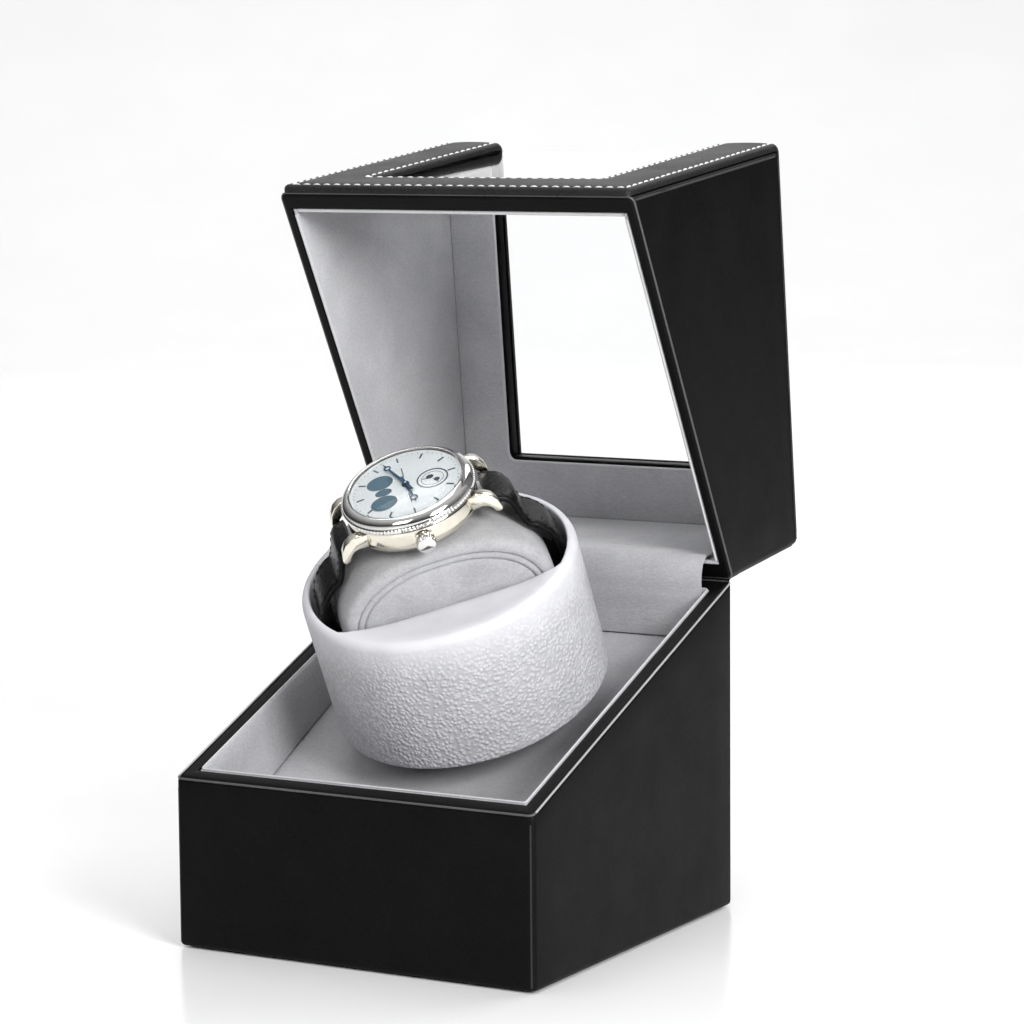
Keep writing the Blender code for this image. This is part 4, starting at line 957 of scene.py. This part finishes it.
# pane, bent over the front edge with a small radius
pane = []
for o in (0.1, 1.1):
    pts = [(-HY + o, WIN_Z - 0.5)]
    rb = 2.4 - o
    pts += [(-HY + 2.4 - rb * math.cos(a), HEIGHT - 2.4 + rb * math.sin(a)) for a in [math.pi / 2 * i / 8 for i in range(9)]]
    pts += [(WIN_Y + 0.8, HEIGHT - o)]
    pane.append(pts)
poly = pane[0] + pane[1][::-1]
n_ = len(pane[0])
v = [(x, p[0], p[1]) for x in (-41.0, 41.0) for p in poly]
m2 = len(poly)
f = [(i, (i + 1) % m2, m2 + (i + 1) % m2, m2 + i) for i in range(m2)]
for b_ in (0, m2):
    f += [(b_ + i, b_ + i + 1, b_ + m2 - 2 - i, b_ + m2 - 1 - i) for i in range(n_ - 1)]
mk("window_glazing", v, f, "acrylic", "lid", LID, 30, ("window_pane",), mats=["acrylic", "edge_leather"],
   index=[1 if i in (n_ - 1, m2 - 1) or i >= m2 else 0 for i in range(len(f))])

# ------------------------------------------------------------------ lid lining: separate velvet panels with soft edges
parts = []
for sx in (-1, 1):
    pl = [(-59.4, lid_rim(-59.4) + 0.25), (58.5, lid_rim(58.5) + 0.25), (58.5, 148.55), (-59.4, 148.55)]
    v, f = prism(pl, sx * 58.1, sx * 59.3, PX)
    parts.append((v, f))
v, f = prism([(-59.3, lid_rim(58.3) + 0.3), (59.3, lid_rim(58.3) + 0.3), (59.3, 148.55), (-59.3, 148.55)], 58.3, 59.5, PY)
parts.append((v, f))
v, f = merged(parts)
bevel(mk("lid_wall_velvet", v, f, "velvet", "lid", LID, 40, ("lid_lining_walls",)), 0.42, 3)


def arc_pts(cx, cy, r, a0, a1, n=6):
    return [(cx + r * math.cos(math.radians(a0 + (a1 - a0) * i / (n - 1))), cy + r * math.sin(math.radians(a0 + (a1 - a0) * i / (n - 1)))) for i in range(n)]


q = 3.0
VX, VZ, VY = WIN_X + 1.0, WIN_Z - 1.1, 40.2
front = [(-58.2, 55.6), (58.2, 55.6), (58.2, 148.5), (VX, 148.5)] + arc_pts(VX - q, VZ + q, q, 0, -90) + arc_pts(-VX + q, VZ + q, q, 270, 180) + [(-VX, 148.5), (-58.2, 148.5)]
topp = [(-58.2, -59.4), (-VX, -59.4)] + arc_pts(-VX + q, VY - q, q, 180, 90) + arc_pts(VX - q, VY - q, q, 90, 0) + [(VX, -59.4), (58.2, -59.4), (58.2, 58.4), (-58.2, 58.4)]
v, f = merged([prism(front, -59.5, -58.3, PY), prism(topp, 148.3, 149.5, PZ)])
bevel(mk("lid_window_velvet", v, f, "velvet", "lid", LID, 40, ("lid_lining_frame",)), 0.4, 3)
# pale edges round the opening and along the lid's mouth: beads in a paler velvet as painted highlights on the lining's
# rounded edges
lp = [(x, -58.75, z) for x, z in arc_pts(VX - q, VZ + q, q, -90, 0)[::-1]] + [(x, -58.75, z) for x, z in arc_pts(-VX + q, VZ + q, q, 270, 180)]
lp = [(VX, -58.75, 148.6)] + lp + [(-VX, -58.75, 148.6)]
tp = [(-VX, -58.6, 148.75)] + [(x, y, 148.75) for x, y in arc_pts(-VX + q, VY - q, q, 180, 90)] + [(x, y, 148.75) for x, y in arc_pts(VX - q, VY - q, q, 90, 0)] + [(VX, -58.6, 148.75)]
mouth = [(58.7, y, lid_rim(y) + 0.35) for y in [-57.5 + 115.5 * i / 20 for i in range(21)]]
v, f = merged([tube(lp, 0.5, 6), tube(tp, 0.5, 6), tube(mouth, 0.5, 6), tube([(-x, y, z) for x, y, z in mouth], 0.5, 6),
               tube([(-57.5 + 115 * i / 16, 58.9, lid_rim(58.9) + 0.45) for i in range(17)], 0.5, 6), tube([(-57.3 + 114.6 * i / 16, -58.9, 55.9) for i in range(17)], 0.55, 6)])
mk("lid_velvet_edges", v, f, "velvet_edge_highlight", "lid", LID, 60)

# ------------------------------------------------------------------ hinge flap, cloth shaped in its bend across the hinge, as with the lid open
fp = smooth_curve([(57.72, 94.6, 0), (57.6, 97.2, 0), (57.42, 99.8, 0), (57.3, 102.2, 0), (57.1, 105.0, 0), (57.5, 108.0, 0), (58.6, 110.7, 0), (60.6, 112.35, 0), (63.2, 112.6, 0), (68.0, 113.1, 0)], 0.8)
loops = []
nf = len(fp)
for i, p in enumerate(fp):
    t = (fp[min(i + 1, nf - 1)] - fp[max(i - 1, 0)]).normalized()
    nn = Vector((-t.y, t.x, 0))
    row = []
    for k in range(2 * 23):
        kk, sgn = (k, 1) if k < 23 else (45 - k, -1)
        x = -55.2 + 110.4 * kk / 22
        rip = 0.10 * math.sin(x * 0.35) * math.sin(math.pi * i / (nf - 1))
        w = (0.35 - 0.24 * (1 - sstep(i / 6))) * (0.6 if kk in (0, 22) else 1.0)
        q_ = p + nn * (sgn * w + rip)
        row.append((x, q_.x, q_.y))
    loops.append(row)
v, f = loops_mesh(loops, False, False)
m2 = len(loops[0])
for b_ in (0, (nf - 1) * m2):
    f += [(b_ + k, b_ + k + 1, b_ + m2 - 2 - k, b_ + m2 - 1 - k) for k in range(22)]
flap = mk("hinge_flap_cloth", v, f, "velvet", None, None, 60, ("hinge_flap",))
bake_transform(flap)

# leather hinge strip along the outside of the back, lying flat on the back and folded over the hinge, shaped as with
# the lid open
fp = smooth_curve([(64.72, 98.6, 0), (64.72, 101.0, 0), (64.72, 102.6, 0), (64.74, 103.6, 0), (64.86, 104.4, 0), (65.25, 104.95, 0), (65.95, 105.22, 0), (67.0, 105.38, 0), (68.6, 105.57, 0), (71.4, 105.88, 0)], 0.45)
loops = []
nf = len(fp)
for i, p in enumerate(fp):
    t = (fp[min(i + 1, nf - 1)] - fp[max(i - 1, 0)]).normalized()
    nn = Vector((-t.y, t.x, 0))
    row = []
    for k in range(2 * 13):
        kk, sgn = (k, 1) if k < 13 else (25 - k, -1)
        q_ = p + nn * (sgn * 0.16)
        row.append((-61.2 + 122.4 * kk / 12, q_.x, q_.y))
    loops.append(row)
v, f = loops_mesh(loops, False, False)
m2 = len(loops[0])
for b_ in (0, (nf - 1) * m2):
    f += [(b_ + k, b_ + k + 1, b_ + m2 - 2 - k, b_ + m2 - 1 - k) for k in range(12)]
hstrip = mk("hinge_strip_leather", v, f, "black_leather", None, None, 60)
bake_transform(hstrip)

# ------------------------------------------------------------------ drum: pebbled sleeve, two smooth crescents
def drum_top(r):
    """Height of the drum's upper surface: a round shoulder, then a shallow dish."""
    if r >= 41.3:
        return 54.9 + 3.1 * math.sqrt(max(0.0, 1 - ((r - 41.3) / 2.2) ** 2))
    return 56.2 + 1.8 * math.exp(-((41.3 - r) / 6.5) ** 2)


prof = [(42.72, 12.25), (43.1, 12.3), (43.4, 12.8), (43.5, 13.7)]
prof += [(43.5, 13.7 + (54.9 - 13.7) * i / 16) for i in range(1, 17)]
prof += [(r, drum_top(r)) for r in (43.48, 43.42, 43.3, 43.12, 42.9, 42.6, 42.2, 41.8, 41.3, 41.05)]
prof += [(40.82, 57.85), (40.66, 57.6), (40.58, 57.1), (40.56, 56.0), (40.56, 44.0), (40.74, 44.0), (40.77, 57.0), (41.5, 57.3), (42.4, 57.05), (42.72, 55.0)]
v, f = lathe(prof, 128)
v = [(x * (1 + 0.0009 * noise.noise(Vector((x, y, z)) * 0.06)), y * (1 + 0.0009 * noise.noise(Vector((x, y, z)) * 0.06)), z) for x, y, z in v]
sleeve = mk("drum_sleeve", v, f, "grey_leather", "drum", DRUM, 60, ("drum_leather",))


def cheek(sgn):
    NXc, NR = 48, 22
    v, f = [], []
    RO = 43.0
    rws = []
    for i in range(NXc + 1):
        a = math.asin(21.3 / RO) + (math.pi - 2 * math.asin(21.3 / RO)) * i / NXc
        x1, y1 = RO * math.cos(a), RO * math.sin(a)
        row = []
        for j in range(NR + 1):
            t = 1 - (1 - j / NR) ** 1.7
            xm = math.sqrt(40.5 ** 2 - 21.3 ** 2) / math.sqrt(RO ** 2 - 21.3 ** 2)
            x0 = x1 * xm
            x, y = x0 + (x1 - x0) * t, 21.3 + (y1 - 21.3) * t
            r = math.hypot(x, y)
            roll = 0.8 * (1 - min((y - 21.3) / 1.3, 1.0)) ** 2 * sstep((40.7 - r) / 1.5)
            row.append(len(v))
            v.append((x, sgn * y, drum_top(r) + 0.05 - 0.16 * sstep((r - 41.2) / 1.8) - roll))
        lowr = []
        for x, y in ((v[row[0]][0], v[row[0]][1]), (v[row[-1]][0] * 40.5 / RO, max(abs(v[row[-1]][1]) * 40.5 / RO, 21.3) * sgn)):
            lowr.append(len(v))
            v.append((x, y, 14.9))
        lip = len(v)
        v.append((v[row[-1]][0] * 40.5 / RO, max(abs(v[row[-1]][1]) * 40.5 / RO, 21.3) * sgn, 55.0))
        rws.append((row, lowr, lip))
    for row, lowr, lip in (rws[0], rws[-1]):
        f.append(tuple(row) + (lip, lowr[1], lowr[0]))
    for i in range(NXc):
        (r0, l0, p0_), (r1, l1, p1_) = rws[i], rws[i + 1]
        for j in range(NR):
            f.append((r0[j], r1[j], r1[j + 1], r0[j + 1]))
        f.append((r0[0], l0[0], l1[0], r1[0]))
        f.append((r0[NR], r1[NR], p1_, p0_))
        f.append((p0_, p1_, l1[1], l0[1]))
        f.append((l0[0], l0[1], l1[1], l1[0]))
    return v, f


for nm, sgn in (("rear", 1), ("front", -1)):
    v, f = cheek(sgn)
    mk("drum_crescent_" + nm, v, f, "grey_leather", "drum", SLOT, 60, ("drum_cheek_" + nm,))


# ------------------------------------------------------------------ cushion with two welts on each end face
def oval(t, hw=33.6, lo=25.6, hi=74.6, e=2.35):
    c, s = math.cos(t), math.sin(t)
    return (hw * math.copysign(abs(c) ** (2 / e), c), (lo + hi) / 2 + (hi - lo) / 2 * math.copysign(abs(s) ** (2 / e), s))


def oval_in(d, n=120):
    e = 2.35 - 0.012 * d
    return [oval(2 * math.pi * i / n, 33.6 - d, 25.6 + d, 74.6 - d, e) for i in range(n)]


half = [(0, 17.6), (0.08, 18.6), (0.35, 19.5), (0.8, 20.2), (1.5, 20.7), (2.3, 20.9), (3.2, 20.85), (3.55, 20.55), (3.75, 20.0), (3.95, 20.5), (4.4, 20.85), (5.0, 20.9), (5.55, 20.6),
        (5.75, 20.05), (5.95, 20.5), (6.5, 20.85), (8.6, 21.0), (13, 21.1), (18, 21.12), (23.6, 21.1)]
rows = [(d, y) for d, y in half[::-1]] + [(-0.12, 9.0), (-0.2, 0.0), (-0.12, -9.0)] + [(d, -y) for d, y in half]
loops = [[(x, y, z) for x, z in oval_in(d)] for d, y in rows]
v, f = loops_mesh(loops, False, True)
v = [(x, y + 0.12 * noise.noise(Vector((x, y, z)) * 0.09) * (1 if abs(y) < 21.0 else 0), z + 0.18 * noise.noise(Vector((x + 9, y, z)) * 0.07)) for x, y, z in v]
cushion = mk("cushion_pad", v, f, "cushion_velvet", "cushion", SLOT, 60, ("cushion",))


# ------------------------------------------------------------------ watch straps
def strap(name, sgn):
    pth = [(19.7, 79.1), (23.2, 78.5), (26.6, 76.2)] if sgn > 0 else [(23.4, 77.3), (25.2, 76.7), (27.0, 75.6)]
    t = math.acos((27.6 / 33.6) ** (2.35 / 2))
    for i in range(14):
        a = t + (-math.pi / 2 * 0.9 - t) * i / 13
        off = 2.5 * math.sin(math.pi * min(1.0, (i + 1.5) / 9.5)) ** 2 if i < 8 else 0.0
        pth.append(oval(a, 33.6 + 1.8 + off, 25.6 - 1.7, 74.6 + 1.9 + off))
    P = smooth_curve([(sgn * x, 0, z) for x, z in pth], 1.0)
    n = len(P)
    loops = []
    run = 0.0
    for i, p in enumerate(P):
        if i:
            run += (P[i] - P[i - 1]).length
        tg = (P[min(i + 1, n - 1)] - P[max(i - 1, 0)]).normalized()
        out = Vector((-tg.z, 0, tg.x)) * (-1 if sgn > 0 else 1)
        if out.dot(Vector((p.x, 0, p.z - 50))) < 0:
            out = -out
        crown = 0.9 * math.exp(-((run - 8.5) / 2.6) ** 2) if sgn > 0 else 0.25 * math.exp(-(run / 9.0) ** 2)
        fold = 0.3 * math.exp(-((run - 13.2) / 1.2) ** 2) if sgn > 0 else 0.0
        w = 9.05
        row = []
        for yy, hh in ((-w, -0.4), (-w + 0.35, -0.9), (-w + 1.2, -1.08), (0, -1.1), (w - 1.2, -1.08), (w - 0.35, -0.9), (w, -0.4), (w, 0.3), (w - 0.3, 0.75), (w - 1.0, 1.0),
                       (w - 2.0, 1.02 + crown * 0.4), (w - 4.2, 1.12 + crown * 0.9), (0, 1.15 + crown - fold), (-w + 4.2, 1.12 + crown * 0.9), (-w + 2.0, 1.02 + crown * 0.4), (-w + 1.0, 1.0), (-w + 0.3, 0.75), (-w, 0.3)):
            q_ = p + out * hh
            row.append((q_.x, yy, q_.z))
        loops.append(row)
    v, f = loops_mesh(loops, False, True)
    ob = mk("watch_" + name, v, f, "croc", "cushion", SLOT, 50, (name,))
    # edge stitching
    parts = []
    acc = 1.5
    run = 0.0
    for i in range(1, n - 2):
        run += (P[i] - P[i - 1]).length
        if run >= acc:
            acc += 2.6
            for sy in (-1, 1):
                pts = []
                for q_ in range(4):
                    j = i + (q_ - 1.5) * 0.55
                    a, b, tt = int(j), min(int(j) + 1, n - 1), j - int(j)
                    pp = P[a].lerp(P[b], tt)
                    tg = (P[b] - P[a]).normalized() if a != b else tg
                    out = Vector((-tg.z, 0, tg.x))
                    if out.dot(Vector((pp.x, 0, pp.z - 50))) < 0:
                        out = -out
                    pp = pp + out * (0.98 + 0.12 * math.sin(math.pi * q_ / 3))
                    pts.append((pp.x, sy * 7.5, pp.z))
                parts.append(tube(pts, lambda k: (0.1, 0.2, 0.2, 0.1)[k], 5))
    v, f = merged(parts)
    mk("watch_%s_stitches" % name, v, f, "seam_dark", "cushion", SLOT, 60)
    return ob


strap("strap_right", 1.0)
strap("strap_left", -1.0)
v, f = prism([(-5.3, -10.6), (5.3, -10.6), (5.3, 10.6), (-5.3, 10.6)], 22.5, 24.8, PZ)
buckle = mk("watch_buckle", v, f, "steel", "cushion", SLOT, 35, ("strap_buckle",))
cut(buckle, [(*box_v((-2.9, -8.4, 18), (2.9, 8.4, 28)), SLOT)])
bevel(buckle, 0.55, 3)
v, f = tube([(-4.2, 0, 24.6), (-2, 0, 24.9), (2, 0, 24.9), (4.2, 0, 24.4)], 0.55, 8)
mk("watch_buckle_tongue", v, f, "steel", "cushion", SLOT, 60)

# ------------------------------------------------------------------ watch head
v, f = lathe([(17.1, 1.95), (18.7, 1.45), (19.2, 1.55), (19.9, 2.3), (20.3, 3.3), (20.4, 4.4), (20.4, 7.6), (20.3, 8.3), (19.9, 8.85), (17.1, 8.9)], 120)
case = mk("watch_midcase", v, f, "case_steel", "cushion", WATCH, 30, ("watch_case",))
lug = [(15.9, 8.0), (18.6, 8.35), (21.2, 8.0), (23.2, 6.7), (24.7, 4.5), (25.35, 1.9), (25.25, 0.7), (24.3, 0.35), (23.2, 0.7), (22.4, 2.3), (21.2, 3.5), (19.6, 4.0), (16.5, 3.6)]
parts = []
for sx in (1, -1):
    for sy in (1, -1):
        pl = [(sx * x, z) for x, z in lug]
        parts.append(prism(pl, sy * 9.3, sy * 12.6, PY))
v, f = merged(parts)
bevel(mk("watch_lugs", v, f, "case_steel", "cushion", WATCH, 30), 0.35, 3, 45)

TEETH = 108
SEG = TEETH * 4


def coin(k, j):
    return -0.32 * (0.5 + 0.5 * math.cos(2 * math.pi * j * TEETH / SEG)) if k in (2, 3) else 0.0


v, f = lathe([(17.9, 9.2), (20.5, 9.2), (21.05, 9.45), (21.05, 10.35), (20.6, 10.6), (20.45, 10.9), (20.6, 11.15), (20.3, 11.9), (19.6, 12.65), (18.9, 13.1), (18.2, 13.3), (17.9, 13.2)], SEG, f_r=coin)
mk("watch_bezel_ring", v, f, "steel", "cushion", WATCH, 40, ("watch_bezel",))
v, f = lathe([(0, 13.7), (5, 13.65), (10.0, 13.45), (14, 13.15), (17.6, 12.78), (17.6, 13.3), (17.2, 13.55), (14.0, 14.05), (10, 14.42), (5, 14.64), (0, 14.7)], 96, False)
mk("watch_glass", v, f, "crystal", "cushion", WATCH, 60, ("watch_crystal",))
v, f = lathe([(0.45, 11.4), (17.5, 11.4), (17.5, 11.9), (17.35, 12.0), (16.9, 12.0), (16.8, 11.96), (16.6, 11.96), (16.5, 12.0), (0.45, 12.0)], 96)
mk("watch_dial_plate", v, f, "dial_white", "cushion", WATCH, 30, ("watch_dial",))


def disc(cx, cy, rx, ry, z0, z1, n=40, a0=0.0, a1=360.0):
    pl = [(cx + rx * math.cos(math.radians(a0 + (a1 - a0) * i / n)), cy + ry * math.sin(math.radians(a0 + (a1 - a0) * i / n))) for i in range(n if a1 - a0 >= 360 else n + 1)]
    return prism(pl, z0, z1, PZ)


def annulus(cx, cy, rx, ry, w, z0, z1, n=48):
    lo = [[(cx + (rx + d) * math.cos(2 * math.pi * i / n), cy + (ry + d) * math.sin(2 * math.pi * i / n), z) for i in range(n)] for d, z in ((0, z0), (w, z0), (w, z1), (0, z1))]
    return loops_mesh(lo)


def bar(r0, r1, w, clock, z0, z1):
    a = -math.radians(clock)
    c, s = math.cos(a), math.sin(a)
    pl = [(r0, -w / 2), (r1, -w / 2), (r1, w / 2), (r0, w / 2)]
    return prism([(x * c - y * s, x * s + y * c) for x, y in pl], z0, z1, PZ)


parts = [bar(13.3, 15.6, 0.5, 30 * k, 11.98, 12.12) for k in range(12)]
parts += [bar(16.0, 16.4, 0.16, 6 * k, 11.98, 12.03) for k in range(60) if k % 5]
parts += [bar(4.6, 9.6, 0.34, 272, 11.98, 12.06), bar(4.9, 9.9, 0.34, 90, 11.98, 12.06)]
parts += [annulus(8.2, -1.2, 4.5, 4.5, 0.42, 11.98, 12.1), annulus(8.2, -1.2, 3.4, 3.4, 0.14, 11.98, 12.04)]
parts += [bar(0.0, 0.01, 0.01, 0, 11.98, 12.0)][:0]
parts += [disc(7.6, 0.0, 1.2, 1.0, 12.0, 12.08), disc(9.4, -2.4, 0.9, 0.9, 12.0, 12.08)]
c8 = [bar(0.4, 3.2, 0.3, 20 + 45 * k, 12.0, 12.07) for k in (1, 4)]
parts += [([(x + 8.2, y - 1.2, z) for x, y, z in v_], f_) for v_, f_ in c8]
v, f = merged(parts)
mk("watch_dial_marks", v, f, "ink", "cushion", WATCH, 30)
v, f = merged([disc(-7.3, 5.3, 4.0, 3.55, 11.98, 12.1), disc(-8.0, -5.9, 4.0, 3.55, 11.98, 12.1), disc(-7.2, -0.3, 2.5, 1.75, 11.98, 12.12)])
mk("watch_moon_windows", v, f, "moon_blue", "cushion", WATCH, 30)
v, f = merged([annulus(-7.3, 5.3, 4.0, 3.55, 0.16, 11.98, 12.16), annulus(-8.0, -5.9, 4.0, 3.55, 0.16, 11.98, 12.16), annulus(-7.2, -0.3, 2.5, 1.75, 0.14, 11.98, 12.17)])
mk("watch_moon_rims", v, f, "steel", "cushion", WATCH, 30)


def hand(name, length, w, z0, z1, clock, body, hub, rep):
    a = -math.radians(clock)
    c, s = math.cos(a), math.sin(a)
    rc = length * 0.80
    rr_ = w * 1.25
    shapes = [prism([(-4.6, -0.42 * w), (0, -0.62 * w), (rc - rr_, -0.34 * w), (rc - rr_, 0.34 * w), (0, 0.62 * w), (-4.6, 0.42 * w)], z0, z1, PZ),
              annulus(rc, 0, rr_ - 0.36, rr_ - 0.36, 0.38, z0, z1, 24),
              prism([(rc + rr_ - 0.1, -0.3 * w), (length, -0.05), (length, 0.05), (rc + rr_ - 0.1, 0.3 * w)], z0, z1, PZ),
              disc(0, 0, hub, hub, z0, z1, 24)]
    v, f = merged(shapes)
    v = [(x * c - y * s, x * s + y * c, z) for x, y, z in v]
    return mk(name, v, f, "blue_steel", body, WATCH, 30, rep)


hand("watch_hour_hand", 10.5, 1.0, 12.2, 12.42, 83, "hour_hand", 1.25, ("hour_hand",))
hand("watch_minute_hand", 14.5, 0.9, 12.62, 12.84, 251.5, "minute_hand", 1.05, ("minute_hand",))
v, f = lathe([(0, 12.05), (0.42, 12.05), (0.42, 13.1), (0.25, 13.25), (0, 13.25)], 20, False)
mk("watch_cannon", v, f, "steel", "cushion", WATCH, 30)
FL = 26


def flute(k, j):
    return -0.28 * (0.5 + 0.5 * math.cos(2 * math.pi * j * FL / (FL * 4))) if k in (3, 4) else 0.0


v, f = lathe([(0, -25.4), (2.3, -25.4), (2.75, -25.15), (3.1, -24.75), (3.1, -21.8), (2.7, -21.25), (0, -21.1)], FL * 4, False, flute)
v = [(x, z, -y + 5.6) for x, y, z in v]
mk("watch_winding_crown", v, f, "steel", "crown", WATCH, 35, ("watch_crown",))

# ------------------------------------------------------------------ stage: pale floor that curves up behind
pts = []
for i in range(13):
    a = math.pi / 2 * i / 12
    pts.append((2.2 + 1.2 * math.sin(a), 1.2 - 1.2 * math.cos(a)))
prof = [(-1.6, 0.0), (-0.6, 0.0), (0.0, 0.0), (1.2, 0.0)] + pts + [(3.4, 6.0)]
back = Matrix.Rotation(az, 4, "Z").inverted()
me = bpy.data.meshes.new("floor")
vv = [back @ Vector((x, y, z - 0.0002)) for y, z in prof for x in (-1.9, 1.3)]
me.from_pydata(vv, [], [(2 * i, 2 * i + 1, 2 * i + 3, 2 * i + 2) for i in range(len(prof) - 1)])
me.shade_smooth()
floor = bpy.data.objects.new("floor", me)
bpy.context.scene.collection.objects.link(floor)
fm, nt, p = new_mat("floor", 0.2, spec=0.5)
n0 = noise_node(nt, coords(nt), 9.0, 2.0)
nt.links.new(ramp(nt, n0, [(0.3, (0.87, 0.87, 0.87)), (0.7, (0.89, 0.89, 0.89))]), p.inputs["Base Color"])
me.materials.append(fm)


def area(name, loc, target, size, power, col=(1, 1, 1), sy=None):
    L = bpy.data.lights.new(name, "AREA")
    L.shape = "RECTANGLE"
    L.size, L.size_y = size, sy or size
    L.energy = power
    L.color = col
    ob = bpy.data.objects.new(name, L)
    bpy.context.scene.collection.objects.link(ob)
    ob.location = loc
    ob.rotation_euler = (Vector(target) - Vector(loc)).to_track_quat("-Z", "Y").to_euler()
    return ob


area("key", (1.35, -0.75, 0.72), (0, 0.0, 0.13), 0.6, 30)
area("top", (-0.1, -0.25, 1.5), (0, 0.0, 0.1), 0.8, 4.5)
area("top_back", (0.35, 1.1, 1.5), (0, 0.1, 0.12), 1.1, 9)
area("front_fill", (0.1, -2.0, 0.9), (0, 0, 0.12), 0.8, 8)
area("wall_wash", tuple(back @ Vector((0, 1.2, 2.6))), tuple(back @ Vector((0, 3.4, 0.9))), 2.0, 50)

world = bpy.data.worlds.new("world")
bpy.context.scene.world = world
world.use_nodes = True
nt = world.node_tree
tc = nt.nodes.new("ShaderNodeTexCoord")
sep = nt.nodes.new("ShaderNodeSeparateXYZ")
nt.links.new(tc.outputs["Generated"], sep.inputs[0])
sky = ramp(nt, sep.outputs["Z"], [(0.0, g(0.05)), (0.12, g(0.10)), (0.40, g(0.42)), (0.75, g(1.0))])
nt.links.new(sky, nt.nodes["Background"].inputs["Color"])
nt.nodes["Background"].inputs["Strength"].default_value = 0.6
